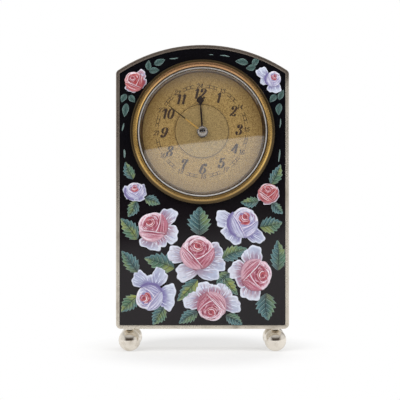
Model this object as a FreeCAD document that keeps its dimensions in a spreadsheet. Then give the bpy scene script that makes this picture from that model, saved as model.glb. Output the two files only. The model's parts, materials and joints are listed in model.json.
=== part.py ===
"""Pendulette: a small arched table clock on ball feet, with its lever movement.

X runs to the right, Y runs from the front to the back and Z runs up, in millimetres.
The origin lies under the middle of the clock, on the surface that its feet stand on.
Depths are measured backwards from the front of the case's rim.
"""
import FreeCAD, Part
import math
import os
from types import SimpleNamespace

import Sketcher
from FreeCAD import Placement, Rotation, Vector

SIZES = {
    # Case: an arched band, closed by a plaque in front and a door behind
    "case_wide": 42.2,
    "case_tall": 69.25,
    "case_deep": 13.6,
    "arch_rise": 6.5,
    "corner_round": 1.2,
    "band_wall": 0.6,
    "edge_round": 0.25,
    # Front: rim, enamelled plaque and the plate behind it
    "rim_wide": 0.9,
    "rim_deep": 0.95,
    "plaque_recess": 0.25,
    "plaque_fit": 0.03,
    "backing_deep": 0.8,
    "corner_block": 3.2,
    "corner_block_deep": 1.6,
    # Ball feet
    "ball_round": 2.73,
    "ball_flat": 0.08,
    "case_lift": 5.75,
    "foot_inset": 0.4,
    "foot_back_inset": 0.5,
    "neck_round": 1.05,
    "neck_tall": 0.34,
    "stud_round": 0.6,
    "nut_round": 1.3,
    "nut_tall": 0.9,
    # Door and hinge
    "door_thick": 0.9,
    "door_gap": 0.03,
    "hinge_round": 0.75,
    "hinge_pin_round": 0.32,
    "hinge_play": 0.04,
    "hinge_clear": 0.1,
    "hinge_low": 28.0,
    "knuckle_long": 8.0,
    "lip_long": 7.0,
    "lip_thick": 0.5,
    "tongue_long": 4.0,
    "tongue_deep": 1.5,
    "tongue_thick": 0.35,
    "tongue_gap": 0.12,
    "leaf_thick": 0.3,
    "leaf_deep": 3.0,
    "leaf_long": 6.0,
    # Dial side, all about the dial's centre
    "dial_below": 21.25,
    "bezel_margin": 3.46,
    "bezel_rise": 1.3,
    "bezel_shoulder": 0.54,
    "bezel_dip": 0.15,
    "bezel_face": 1.85,
    "ledge_wide": 0.59,
    "ledge_front": 0.05,
    "ledge_back": 0.45,
    "tube_inset": 0.19,
    "tube_wall": 0.6,
    "tube_back": 3.0,
    "ring_fit": 0.03,
    "ring_wide": 0.51,
    "ring_thick": 0.4,
    "glass_edge": 0.6,
    "glass_crown": 1.9,
    "glass_flat": 0.5,
    "slope_flare": 0.35,
    "dial_cover": 1.0,
    "dial_fit": 0.05,
    "dial_thick": 0.4,
    "dial_hole": 0.95,
    "dial_foot_round": 0.4,
    "dial_foot_inset": 1.7,
    "dial_foot_turn": 62.0,
    # Drum that carries the movement
    "drum_wall": 0.67,
    "drum_back": 10.0,
    "flange_wide": 2.1,
    "flange_deep": 0.7,
    "flange_screw_turn": 30.0,
    "drum_ledge_wide": 0.6,
    "drum_ledge_deep": 0.6,
    "drum_screws": 3,
    # Plates
    "plate_deep": 2.4,
    "recess_deep": 1.0,
    "recess_clear": 0.17,
    "plate_gap": 2.9,
    "bridge_thick": 1.1,
    "bridge_fit": 0.15,
    "bridge_edge": 1.4,
    "bridge_split": 0.4,
    "bridge_foot": 1.1,
    "foot_margin": 1.65,
    "barrel_foot_one": 74.0,
    "barrel_foot_two": 172.0,
    "train_foot_one": 36.0,
    "train_foot_two": -20.0,
    "train_foot_three": -70.0,
    "train_foot_four": -98.0,
    "balance_foot_margin": 2.75,
    "balance_foot_turn": 190.5,
    "pallet_foot_margin": 1.48,
    "pallet_foot_turn": 243.8,
    "cock_table": 2.2,
    "cock_arm": 1.5,
    "cock_clear": 0.35,
    "balance_window": 4.75,
    "pallet_cock_low": 0.8,
    "pallet_cock_thick": 0.5,
    "pallet_cock_arm": 0.8,
    "case_screw_margin": 0.7,
    "case_screw_one": 10.0,
    "case_screw_two": 100.0,
    "case_screw_three": 252.0,
    # Jewels and pivots
    "jewel_round": 0.6,
    "jewel_low": 0.35,
    "jewel_high": 0.6,
    "pivot_round": 0.12,
    "pivot_play": 0.03,
    "pivot_spare": 0.08,
    # Screws
    "screw_head": 0.85,
    "screw_head_thick": 0.35,
    "screw_round": 0.4,
    "screw_slot": 0.22,
    "screw_bite": 0.9,
    # Teeth, and the arbors' distances as shares of the bridges' radius
    "barrel_teeth": 80,
    "centre_leaves": 10,
    "barrel_span_share": 0.515,
    "centre_teeth": 64,
    "third_leaves": 8,
    "third_span_share": 0.34,
    "third_teeth": 60,
    "fourth_leaves": 8,
    "fourth_span_share": 0.298,
    "fourth_teeth": 70,
    "escape_leaves": 7,
    "escape_span_share": 0.286,
    "escape_teeth": 15,
    "escape_wheel_share": 0.175,
    "escape_tooth_share": 0.25,
    "motion_span_share": 0.2155,
    "cannon_leaves": 10,
    "minute_teeth": 30,
    "minute_leaves": 8,
    "hour_teeth": 32,
    "setting_leaves": 10,
    # Directions from one arbor to the next, in degrees from X towards Z
    "barrel_way": 130.0,
    "third_way": -40.0,
    "fourth_way": -110.0,
    "escape_way": 190.0,
    "pallet_way": 190.0,
    "balance_way": 149.0,
    "minute_way": 30.0,
    "setting_way": 30.0,
    # Train, in depths behind the main plate
    "wheel_thick": 0.25,
    "arbor_round": 0.3,
    "arbor_spare": 0.1,
    "centre_level": 0.3,
    "barrel_level": 0.85,
    "barrel_thick": 1.85,
    "barrel_tooth_thick": 0.5,
    "barrel_wall": 0.35,
    "barrel_lid": 0.3,
    "barrel_core": 1.2,
    "barrel_shaft": 0.9,
    "shaft_play": 0.03,
    "cannon_fit": 0.01,
    "third_level": 1.75,
    "fourth_level": 1.05,
    "escape_level": 0.35,
    "leaf_wide": 0.55,
    "hub_share": 0.28,
    "rim_share": 0.8,
    "arm_wide": 0.42,
    "spring_turns": 7,
    "spring_strip": 0.12,
    # Winding work behind the barrel bridge
    "ratchet_teeth": 24,
    "ratchet_round": 3.0,
    "ratchet_root": 2.6,
    "ratchet_thick": 0.55,
    "ratchet_lift": 0.05,
    "square_side": 1.2,
    "square_back": 12.2,
    "click_out": 4.35,
    "click_turn": 60.0,
    "click_round": 0.75,
    "click_tip_turn": 32.0,
    "click_tip_gap": 0.06,
    "click_beak_share": 0.8,
    "click_spring_round": 1.5,
    "click_spring_thick": 0.16,
    "click_spring_from": -54.0,
    "click_spring_sweep": 224.0,
    "spring_eye_share": 1.6,
    "key_front": 9.4,
    "key_back": 12.6,
    "key_hub": 1.5,
    "key_wing": 3.7,
    "key_wing_deep": 2.6,
    "key_wing_round": 0.9,
    # Setting work
    "setting_shaft": 0.5,
    "knob_front": 9.4,
    "knob_back": 12.4,
    "knob_round": 2.1,
    "knob_groove": 0.16,
    "knob_grooves": 24,
    # Escapement and balance
    "pallet_hub": 0.5,
    "pallet_clear": 0.4,
    "pallet_spread": 32.0,
    "pallet_arm": 0.36,
    "fork_span_share": 0.27,
    "fork_gap": 0.25,
    "fork_wide": 0.95,
    "roller_round": 1.0,
    "impulse_out": 0.7,
    "impulse_round": 0.12,
    "roller_level": 0.85,
    "roller_thick": 0.2,
    "balance_level": 1.55,
    "balance_thick": 0.5,
    "balance_wheel_share": 0.283,
    "balance_hub": 0.75,
    "balance_rim": 0.55,
    "balance_arm": 0.5,
    "collet_round": 0.5,
    "hair_level": 2.3,
    "hair_tall": 0.18,
    "hair_strip": 0.07,
    "hair_round": 2.45,
    "hair_turns": 6,
    "stud_pin": 0.22,
    "stud_turn": 130.0,
    "regulator_ring": 1.35,
    "regulator_hole": 0.75,
    "regulator_reach": 4.4,
    "regulator_thick": 0.22,
    "regulator_wide": 0.42,
    "regulator_turn": 45.0,
    # Motion work and hands, in depths from the rim
    "cannon_round": 0.5,
    "cannon_bore": 0.32,
    "cannon_front": 0.25,
    "cannon_teeth_front": 2.25,
    "cannon_teeth_back": 2.65,
    "minute_wheel_front": 2.33,
    "minute_wheel_thick": 0.2,
    "minute_leaf_front": 1.88,
    "minute_post": 0.3,
    "hour_wheel_front": 1.9,
    "hour_wheel_thick": 0.22,
    "hour_tube_in": 0.54,
    "hour_tube_out": 0.8,
    "hour_tube_front": 0.7,
    "hour_hand_front": 0.72,
    "minute_hand_front": 0.3,
    "hand_thick": 0.14,
    "hour_hub": 1.35,
    "hour_stem": 0.42,
    "bulb_start": 5.75,
    "bulb_mid": 7.55,
    "bulb_wide": 1.85,
    "bulb_end": 8.75,
    "bulb_low_arc": 1.5,
    "bulb_high_arc": 1.25,
    "hour_point": 9.3,
    "hour_point_wide": 0.16,
    "hour_hand_turn": -4.0,
    "minute_hand_long": 10.5,
    "minute_hand_wide": 0.36,
    "minute_hand_point": 0.16,
    "minute_hand_turn": -52.0,
    "minute_hub": 0.82,
    "cap_round": 1.22,
    "cap_front": -0.12,
    "hub_front": -0.04,
    # One overrun serves all cuts
    "overrun": 1.0,
}

doc = FreeCAD.newDocument("Pendulette")
sheet = doc.addObject("Spreadsheet::Sheet", "Sizes")
for row, (word, number) in enumerate(SIZES.items(), 1):
    sheet.set(f"A{row}", word)
    sheet.set(f"B{row}", str(number))
    sheet.setAlias(f"B{row}", word)
doc.recompute()


def text_of(item):
    """The expression of a size, or a plain number as it is written."""
    return item.text if isinstance(item, Size) else repr(item)


class Size:
    """A value of the sheet, or one worked out from such values, with the expression that gives it."""

    def __init__(self, value, text):
        self.value = value
        self.text = text

    def __float__(self):
        return float(self.value)

    def __add__(self, other):
        return Size(self.value + float(other), f"({self.text} + {text_of(other)})")

    def __radd__(self, other):
        return Size(float(other) + self.value, f"({text_of(other)} + {self.text})")

    def __sub__(self, other):
        return Size(self.value - float(other), f"({self.text} - {text_of(other)})")

    def __rsub__(self, other):
        return Size(float(other) - self.value, f"({text_of(other)} - {self.text})")

    def __mul__(self, other):
        return Size(self.value * float(other), f"({self.text} * {text_of(other)})")

    def __rmul__(self, other):
        return Size(float(other) * self.value, f"({text_of(other)} * {self.text})")

    def __truediv__(self, other):
        return Size(self.value / float(other), f"({self.text} / {text_of(other)})")

    def __rtruediv__(self, other):
        return Size(float(other) / self.value, f"({text_of(other)} / {self.text})")

    def __neg__(self):
        return Size(-self.value, f"(0 - {self.text})")


def root(size):
    return Size(math.sqrt(size.value), f"sqrt({size.text})")


def cosine(size):
    return Size(math.cos(math.radians(size.value)), f"cos({size.text})")


def sine(size):
    return Size(math.sin(math.radians(size.value)), f"sin({size.text})")


s = SimpleNamespace(**{word: Size(float(sheet.get(word)), "Sizes." + word) for word in SIZES})

# Radii about the dial's centre, worked out from the case's width inwards
s.bezel_round = s.case_wide / 2 - s.bezel_margin
s.band_round = s.bezel_round - s.bezel_face
s.ledge_round = s.band_round - s.ledge_wide
s.tube_in = s.band_round - s.tube_inset
s.tube_out = s.tube_in + s.tube_wall
s.ring_in = s.band_round - s.ring_wide
s.dial_seen = s.tube_in - s.dial_cover
s.slope_wide = s.dial_seen + s.slope_flare
s.dial_round = s.tube_in - s.dial_fit
s.dial_foot_out = s.tube_in - s.dial_foot_inset
s.drum_out = s.tube_out + s.ring_fit + s.drum_wall
s.flange_round = s.drum_out + s.flange_wide
s.flange_screw_out = s.drum_out + s.flange_wide / 2
s.drum_ledge_in = s.tube_in - s.drum_ledge_wide
s.bridge_round = s.drum_ledge_in - s.bridge_fit
s.foot_out = s.bridge_round - s.foot_margin
s.balance_foot_out = s.bridge_round - s.balance_foot_margin
s.pallet_foot_out = s.bridge_round - s.pallet_foot_margin
s.case_screw_out = s.drum_ledge_in - s.case_screw_margin

# Modules, from the arbors' distances and the teeth that share them; teeth stand out by ADDENDUM modules

ADDENDUM = 0.92
DEDENDUM = 1.2


def module_of(span_share, teeth, other):
    return 2 * s.bridge_round * span_share / (teeth + other)


s.barrel_module = module_of(s.barrel_span_share, s.barrel_teeth, s.centre_leaves)
s.centre_module = module_of(s.third_span_share, s.centre_teeth, s.third_leaves)
s.third_module = module_of(s.fourth_span_share, s.third_teeth, s.fourth_leaves)
s.fourth_module = module_of(s.escape_span_share, s.fourth_teeth, s.escape_leaves)
s.motion_module = module_of(s.motion_span_share, s.cannon_leaves, s.minute_teeth)
s.recess_round = s.motion_module * (s.cannon_leaves / 2 + s.minute_teeth + ADDENDUM) + s.recess_clear
s.recess_side = s.motion_module * (s.setting_leaves / 2 + ADDENDUM) + s.recess_clear
s.escape_round = s.bridge_round * s.escape_wheel_share
s.escape_root = s.escape_round * (1 - s.escape_tooth_share)
s.pallet_reach = s.escape_round + s.pallet_clear
s.fork_span = s.bridge_round * s.fork_span_share
s.balance_round = s.bridge_round * s.balance_wheel_share

# Depths from the rim's front, worked out from one another
backing_back = s.rim_deep + s.backing_deep
glass_front = s.ledge_front - s.glass_edge - s.glass_crown
dial_front = backing_back - s.dial_thick
plate_front = backing_back
plate_back = plate_front + s.plate_deep
bridge_front = plate_back + s.plate_gap
bridge_back = bridge_front + s.bridge_thick
door_front = s.case_deep + s.door_gap
whole_deep = door_front + s.door_thick - glass_front
arch_top = s.case_lift + s.case_tall
s.dial_up = arch_top - s.dial_below


def deep(depth):
    """The Y of a depth: the whole clock, glass to door, lies evenly about Y = 0."""
    return depth - glass_front - whole_deep / 2


def polar(centre, out, turn):
    """The point at a distance and a direction from another point of the XZ plane."""
    return centre[0] + out * cosine(turn), centre[1] + out * sine(turn)


# Arbor places
centre = (s.case_wide * 0, s.dial_up)
barrel_at = polar(centre, s.barrel_module * (s.barrel_teeth + s.centre_leaves) / 2, s.barrel_way)
third_at = polar(centre, s.centre_module * (s.centre_teeth + s.third_leaves) / 2, s.third_way)
fourth_at = polar(third_at, s.third_module * (s.third_teeth + s.fourth_leaves) / 2, s.fourth_way)
escape_at = polar(fourth_at, s.fourth_module * (s.fourth_teeth + s.escape_leaves) / 2, s.escape_way)
pallet_at = polar(escape_at, s.pallet_reach, s.pallet_way)
balance_at = polar(pallet_at, s.fork_span, s.balance_way)
minute_at = polar(centre, s.motion_module * (s.cannon_leaves + s.minute_teeth) / 2, s.minute_way)
setting_at = polar(minute_at, s.motion_module * (s.minute_teeth + s.setting_leaves) / 2, s.setting_way)
click_at = polar(barrel_at, s.click_out, s.click_turn)

SAME_PLACE = 1e-6
nodes = []


def keep(item, label):
    """Name a finished piece of the clock."""
    item.Label = label
    nodes.append(item)
    return item


def bind(item, **sizes):
    for name, size in sizes.items():
        item.setExpression(name, text_of(size))


def put(item, x=0, y=0, z=0):
    for name, size in (("x", x), ("y", y), ("z", z)):
        if isinstance(size, Size):
            item.setExpression("Placement.Base." + name, size.text)


def block(name, x, y, z):
    """A box between two places along each axis."""
    item = doc.addObject("Part::Box", name)
    bind(item, Length=x[1] - x[0], Width=y[1] - y[0], Height=z[1] - z[0])
    put(item, x[0], y[0], z[0])
    return item


def rod(name, at, front, back, radius):
    """A round bar along Y, between two depths."""
    item = doc.addObject("Part::Cylinder", name)
    item.Placement = Placement(Vector(), Rotation(Vector(1, 0, 0), -90))
    bind(item, Radius=radius, Height=back - front)
    put(item, at[0], deep(front), at[1])
    return item


def post(name, x, y, low, high, radius):
    """A round bar along Z."""
    item = doc.addObject("Part::Cylinder", name)
    bind(item, Radius=radius, Height=high - low)
    put(item, x, y, low)
    return item


def fused(name, items):
    item = doc.addObject("Part::MultiFuse", name)
    item.Shapes = items
    return item


def cut(name, base, tools):
    """Cut one or more tools from a base."""
    item = doc.addObject("Part::Cut", name)
    item.Base = base
    item.Tool = tools[0] if len(tools) == 1 else fused(name + "_tools", tools)
    return item


def group(name, items):
    item = doc.addObject("Part::Compound", name)
    item.Links = items
    return item


def sketch(body, role, name):
    """An empty sketch on one of its body's own planes."""
    flat = body.newObject("Sketcher::SketchObject", name)
    plane = [item for item in body.Origin.OriginFeatures if item.Role == role][0]
    flat.AttachmentSupport = [(plane, "")]
    flat.MapMode = "FlatFace"
    return flat


def hold(flat, kind, size, *places):
    """Add one dimension to a sketch and bind it."""
    value = float(size)
    index = flat.addConstraint(Sketcher.Constraint(kind, *places, value))
    if isinstance(size, Size):
        flat.setExpression(f"Constraints[{index}]", size.text)


def arc_between(start, end, radius, turn):
    """The short arc of a radius from one point to another; turn is 1 for a left-hand arc, else -1."""
    chord = end - start
    middle = (start + end) * 0.5
    side = Vector(-chord.y, chord.x, 0).normalize() * turn
    hub = middle + side * math.sqrt(radius ** 2 - chord.Length ** 2 / 4)
    ends = (start, end) if turn > 0 else (end, start)
    angles = [math.atan2(point.y - hub.y, point.x - hub.x) for point in ends]
    return Part.ArcOfCircle(Part.Circle(hub, Vector(0, 0, 1), radius), *angles)


def chain(flat, points):
    """Close a loop of a sketch. A point is (x, y), or (x, y, radius, turn) where an arc comes to it."""
    places = [Vector(float(point[0]), float(point[1]), 0) for point in points]
    ends = []
    for index, point in enumerate(points):
        start, end = places[index - 1], places[index]
        if len(point) == 2:
            edge = flat.addGeometry(Part.LineSegment(start, end), False)
            ends.append((edge, 1, 2))
            continue
        edge = flat.addGeometry(arc_between(start, end, float(point[2]), point[3]), False)
        ends.append((edge, 1, 2) if point[3] > 0 else (edge, 2, 1))
    for index, (edge, _, last) in enumerate(ends):
        after, first, _ = ends[(index + 1) % len(ends)]
        flat.addConstraint(Sketcher.Constraint("Coincident", edge, last, after, first))
        hold(flat, "DistanceX", points[index][0], -1, 1, edge, last)
        hold(flat, "DistanceY", points[index][1], -1, 1, edge, last)
        if len(points[index]) > 2:
            hold(flat, "Radius", points[index][2], edge)


def circle(flat, at, radius):
    edge = flat.addGeometry(
        Part.Circle(Vector(float(at[0]), float(at[1]), 0), Vector(0, 0, 1), float(radius)), False
    )
    hold(flat, "DistanceX", at[0], -1, 1, edge, 3)
    hold(flat, "DistanceY", at[1], -1, 1, edge, 3)
    hold(flat, "Radius", radius, edge)


def plate(name, front, thick, loops=(), circles=()):
    """A flat piece across Y: closed loops and circles of the XZ plane, padded towards the back."""
    body = doc.addObject("PartDesign::Body", name)
    flat = sketch(body, "XZ_Plane", name + "_outline")
    for points in loops:
        chain(flat, points)
    for at, radius in circles:
        circle(flat, at, radius)
    pad = body.newObject("PartDesign::Pad", name + "_pad")
    pad.Profile = flat
    pad.Reversed = True
    bind(pad, Length=thick)
    put(body, 0, deep(front), 0)
    return body


def turned(name, at, points):
    """A piece turned about an axis along Y. A point is (radius, depth), and arcs go as in chain."""
    body = doc.addObject("PartDesign::Body", name)
    flat = sketch(body, "XY_Plane", name + "_profile")
    chain(flat, [(point[0], deep(point[1]), *point[2:]) for point in points])
    spin = body.newObject("PartDesign::Revolution", name + "_turn")
    spin.Profile = flat
    spin.ReferenceAxis = (flat, ["V_Axis"])
    spin.Angle = 360
    put(body, at[0], 0, at[1])
    return body


def stepped(name, at, steps):
    """A turned arbor: each step is (front, back, radius), from the front to the back."""
    points = [(0, steps[0][0])]
    for front, back, radius in steps:
        points += [(radius, front), (radius, back)]
    points.append((0, steps[-1][1]))
    return turned(name, at, points)


def softened(body, edge_round, depth):
    """Round the edges of a plate's last feature that lie at a depth behind its front."""
    doc.recompute()
    base = body.Tip
    names = []
    for index, edge in enumerate(base.Shape.Edges, 1):
        if max(abs(vertex.Point.y - float(depth)) for vertex in edge.Vertexes) < SAME_PLACE:
            names.append(f"Edge{index}")
    soft = body.newObject("PartDesign::Fillet", body.Name + "_round")
    soft.Base = (base, names)
    bind(soft, Radius=edge_round)
    return body


def arched(inset):
    """The case's outline, moved inwards: straight sides, a shallow arch and small round corners."""
    half = s.case_wide / 2 - inset
    low = s.case_lift + inset
    corner = s.corner_round - inset
    arch = (s.case_wide * s.case_wide / 4 + s.arch_rise * s.arch_rise) / (2 * s.arch_rise)
    hub = arch_top - arch
    across = half - corner
    inner = arch - inset - corner
    up = hub + root(inner * inner - across * across)
    reach = (arch - inset) / inner
    top_x = across * reach
    top_z = hub + (up - hub) * reach
    return [
        (across, low),
        (half, low + corner, corner, 1),
        (half, up),
        (top_x, top_z, corner, 1),
        (-top_x, top_z, arch - inset, 1),
        (-half, up, corner, 1),
        (-half, low + corner),
        (-across, low, corner, 1),
    ]


def screw(name, at, seat, length, head=s.screw_head, facing=1):
    """A slotted screw along Y whose head sits on a depth; facing is 1 where the head is behind it."""
    tip = seat - length * facing
    top = seat + s.screw_head_thick * facing
    low, high = (tip, seat) if facing > 0 else (seat, tip)
    shank = rod(name + "_shank", at, low, high, s.screw_round)
    low, high = (seat, top) if facing > 0 else (top, seat)
    cap = rod(name + "_head", at, low, high, head)
    middle = (seat + top) / 2
    low, high = (middle, top + s.overrun) if facing > 0 else (top - s.overrun, middle)
    slot = block(
        name + "_slot",
        (at[0] - head - s.overrun, at[0] + head + s.overrun),
        (deep(low), deep(high)),
        (at[1] - s.screw_slot / 2, at[1] + s.screw_slot / 2),
    )
    return cut(name, fused(name + "_blank", [shank, cap]), [slot])


def capsule(name, start, end, radius, front, back):
    """A bar with round ends across Y, as two discs and the straight piece between them."""
    long_x, long_z = float(end[0] - start[0]), float(end[1] - start[1])
    reach = math.hypot(long_x, long_z)
    side = Vector(-long_z / reach, 0, long_x / reach) * float(radius)
    first = Vector(float(start[0]), 0, float(start[1]))
    last = Vector(float(end[0]), 0, float(end[1]))
    corners = [first + side, last + side, last - side, first - side]
    bar = Part.Face(Part.makePolygon(corners + corners[:1])).extrude(Vector(0, float(back - front), 0))
    item = doc.addObject("Part::Feature", name + "_bar")
    item.Shape = bar
    item.Placement = Placement(Vector(0, float(deep(front)), 0), Rotation())
    discs = [rod(name + "_start", start, front, back, radius), rod(name + "_end", end, front, back, radius)]
    return fused(name, [item] + discs)


# Case

half_wide = s.case_wide / 2
ball_up = s.ball_round - s.ball_flat
foot_across = half_wide - s.foot_inset - s.ball_round
foot_front = s.foot_inset + s.ball_round
foot_back = s.case_deep - s.foot_back_inset - s.ball_round
FEET = {
    "foot_front_left": (-foot_across, foot_front),
    "foot_front_right": (foot_across, foot_front),
    "foot_rear_left": (-foot_across, foot_back),
    "foot_rear_right": (foot_across, foot_back),
}
hinge_x = -half_wide
hinge_y = deep(s.case_deep)
hinge_low = s.hinge_low
door_knuckle_low = hinge_low + s.knuckle_long
door_knuckle_high = door_knuckle_low + s.knuckle_long
hinge_high = door_knuckle_high + s.knuckle_long
block_in = s.band_wall + s.corner_block / 2
block_low = s.case_lift + s.band_wall + s.nut_tall + s.corner_block
block_high = arch_top - s.arch_rise - s.corner_round - block_in
BLOCKS = [(side * (half_wide - block_in), up) for side in (-1, 1) for up in (block_low, block_high)]


def case_band():
    """The silver band: arched outside and inside, with foot holes, corner blocks and hinge knuckles."""
    band = plate("band_wall", s.rim_deep, s.case_deep - s.rim_deep, [arched(0), arched(s.band_wall)])
    blocks = []
    holes = []
    for index, (x, z) in enumerate(BLOCKS):
        outer = half_wide - s.band_wall / 2
        sides = (x - s.corner_block / 2, outer) if float(x) > 0 else (-outer, x + s.corner_block / 2)
        blocks.append(block(f"corner_block_{index}", sides,
                            (deep(backing_back), deep(backing_back + s.corner_block_deep)),
                            (z - s.corner_block / 2, z + s.corner_block / 2)))
        holes.append(rod(f"corner_hole_{index}", (x, z), backing_back - s.overrun,
                         backing_back + s.corner_block_deep + s.overrun, s.screw_round))
    for name, (x, depth) in FEET.items():
        holes.append(post(name + "_hole", x, deep(depth), s.case_lift - s.overrun,
                          s.case_lift + s.band_wall + s.overrun, s.stud_round))
    knuckles = [
        post("case_knuckle_low", hinge_x, hinge_y, hinge_low, door_knuckle_low, s.hinge_round),
        post("case_knuckle_high", hinge_x, hinge_y, door_knuckle_high, hinge_high, s.hinge_round),
    ]
    notch = post("case_hinge_notch", hinge_x, hinge_y, door_knuckle_low - s.hinge_clear / 2,
                 door_knuckle_high + s.hinge_clear / 2, s.hinge_round + s.hinge_clear)
    bore = post("case_hinge_bore", hinge_x, hinge_y, hinge_low - s.overrun, hinge_high + s.overrun,
                s.hinge_pin_round)
    solid = fused("case_band_blank", [band] + blocks + knuckles)
    keep(cut("case_band_cut", solid, holes + [notch, bore]), "case_band")


def front_frame():
    """The silver rim round the plaque, its front edges eased."""
    rim = plate("rim", 0 * s.rim_deep, s.rim_deep, [arched(0), arched(s.rim_wide)])
    keep(softened(rim, s.edge_round, 0), "front_frame")


def plaque():
    """The enamelled plaque and the plate that carries it, each with the dial's opening."""
    opening = (centre, s.tube_out + s.plaque_fit)
    face = plate("plaque_blank", s.plaque_recess, s.rim_deep - s.plaque_recess,
                 [arched(s.rim_wide + s.plaque_fit)], [opening])
    keep(face, "enamel_plaque")
    screw_holes = [(at, s.screw_round) for at in BLOCKS]
    back = plate("backing_blank", s.rim_deep, s.backing_deep,
                 [arched(s.band_wall + s.plaque_fit)], [opening] + screw_holes + flange_holes())
    keep(back, "plaque_backing")
    seat = backing_back + s.corner_block_deep
    screws = [screw(f"backing_screw_{index}", at, seat, s.corner_block_deep + s.backing_deep / 2)
              for index, at in enumerate(BLOCKS)]
    keep(group("backing_screw_set", screws), "backing_screws")


def flange_places():
    """The drum's flange screws, evenly round the dial."""
    count = int(s.drum_screws.value)
    return [polar(centre, s.flange_screw_out, s.flange_screw_turn + index * 360 / s.drum_screws)
            for index in range(count)]


def flange_holes():
    return [(at, s.screw_round) for at in flange_places()]


def feet():
    """Four ball feet with a neck and a stud, standing on small flats, and their nuts."""
    nuts = []
    stud_top = s.case_lift + s.band_wall + s.nut_tall
    for name, (x, depth) in FEET.items():
        ball = doc.addObject("Part::Sphere", name + "_ball")
        bind(ball, Radius=s.ball_round)
        put(ball, x, deep(depth), ball_up)
        neck = post(name + "_neck", x, deep(depth), s.case_lift - s.neck_tall - s.ball_flat, s.case_lift,
                    s.neck_round)
        stud = post(name + "_stud", x, deep(depth), ball_up, stud_top, s.stud_round)
        below = block(name + "_floor", (x - s.ball_round, x + s.ball_round),
                      (deep(depth) - s.ball_round, deep(depth) + s.ball_round),
                      (-s.overrun, 0 * s.overrun))
        keep(cut(name + "_cut", fused(name + "_blank", [ball, neck, stud]), [below]), name)
        hexagon = doc.addObject("Part::Prism", name + "_nut_blank")
        hexagon.Polygon = 6
        bind(hexagon, Circumradius=s.nut_round, Height=s.nut_tall)
        put(hexagon, x, deep(depth), s.case_lift + s.band_wall)
        hole = post(name + "_nut_hole", x, deep(depth), s.case_lift, stud_top + s.overrun, s.stud_round)
        nuts.append(cut(name + "_nut", hexagon, [hole]))
    keep(group("foot_nut_set", nuts), "foot_nuts")


def door():
    """The rear door with its knuckle, thumb lip and tongue, its pin, and the catch's leaf spring."""
    leaf = plate("door_leaf", door_front, s.door_thick, [arched(0)])
    softened(leaf, s.edge_round, s.door_thick)
    knuckle = post("door_knuckle", hinge_x, hinge_y, door_knuckle_low + s.hinge_clear / 2,
                   door_knuckle_high - s.hinge_clear / 2, s.hinge_round)
    middle = s.case_lift + s.case_tall / 2
    lip = block("door_lip", (half_wide - s.lip_thick, half_wide + s.hinge_round),
                (deep(door_front), deep(door_front + s.lip_thick)),
                (middle - s.lip_long / 2, middle + s.lip_long / 2))
    inside = half_wide - s.band_wall - s.leaf_thick - s.tongue_gap
    tongue = block("door_tongue", (inside - s.tongue_thick, inside),
                   (deep(s.case_deep - s.tongue_deep), deep(door_front + s.door_thick / 2)),
                   (middle - s.tongue_long / 2, middle + s.tongue_long / 2))
    notches = []
    for name, low, high in (("low", hinge_low, door_knuckle_low), ("high", door_knuckle_high, hinge_high)):
        notches.append(post(f"door_notch_{name}", hinge_x, hinge_y, low - s.hinge_clear,
                            high + s.hinge_clear / 2, s.hinge_round + s.hinge_clear))
    bore = post("door_bore", hinge_x, hinge_y, hinge_low, hinge_high, s.hinge_pin_round + s.hinge_play)
    plain = cut("door_plain", leaf, notches)
    keep(cut("door_cut", fused("door_blank", [plain, knuckle, lip, tongue]), [bore]), "rear_door")
    keep(post("hinge_pin", hinge_x, hinge_y, hinge_low, hinge_high, s.hinge_pin_round), "door_hinge_pin")
    spring = block("catch_leaf", (half_wide - s.band_wall - s.leaf_thick, half_wide - s.band_wall),
                   (deep(s.case_deep - s.leaf_deep), deep(s.case_deep - s.door_gap)),
                   (middle - s.leaf_long / 2, middle + s.leaf_long / 2))
    keep(spring, "catch_spring")


# Dial side

def bezel():
    """The gilt bezel with its tube, the silver ring and the domed glass that it holds."""
    shoulder = s.bezel_round - s.bezel_shoulder
    top = -s.bezel_rise
    crown_wide = (shoulder - s.band_round) / 2
    crown = (crown_wide * crown_wide + s.bezel_dip * s.bezel_dip) / (2 * s.bezel_dip)
    points = [
        (s.bezel_round, s.plaque_recess),
        (s.tube_out, s.plaque_recess),
        (s.tube_out, s.tube_back),
        (s.tube_in, s.tube_back),
        (s.tube_in, s.ledge_back),
        (s.ledge_round, s.ledge_back),
        (s.ledge_round, s.ledge_front),
        (s.band_round, s.ledge_front),
        (s.band_round, top + s.bezel_dip),
        (shoulder, top + s.bezel_dip, crown, 1),
        (s.bezel_round, top + s.bezel_dip + s.bezel_shoulder, s.bezel_shoulder, 1),
    ]
    keep(turned("bezel_ring", centre, points), "bezel")
    glass_out = s.band_round - s.ring_fit
    seat = s.ledge_front - s.glass_edge
    keep(turned("crystal_ring_turned", centre, [
        (s.ring_in, seat), (s.ring_in, seat - s.ring_thick / 2),
        (s.ring_in + s.ring_thick / 4, seat - s.ring_thick),
        (glass_out, seat - s.ring_thick), (glass_out, seat)]), "crystal_ring")
    inner = s.ring_in - s.ring_fit
    dome = (inner * inner + s.glass_crown * s.glass_crown) / (2 * s.glass_crown)
    low = inner - s.glass_flat
    bowl = (low * low + s.glass_crown * s.glass_crown) / (2 * s.glass_crown)
    keep(turned("crystal_turned", centre, [
        (0, glass_front + s.glass_edge), (low, s.ledge_front, bowl, 1), (glass_out, s.ledge_front),
        (glass_out, seat), (inner, seat), (0, glass_front, dome, -1)]), "crystal")


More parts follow.
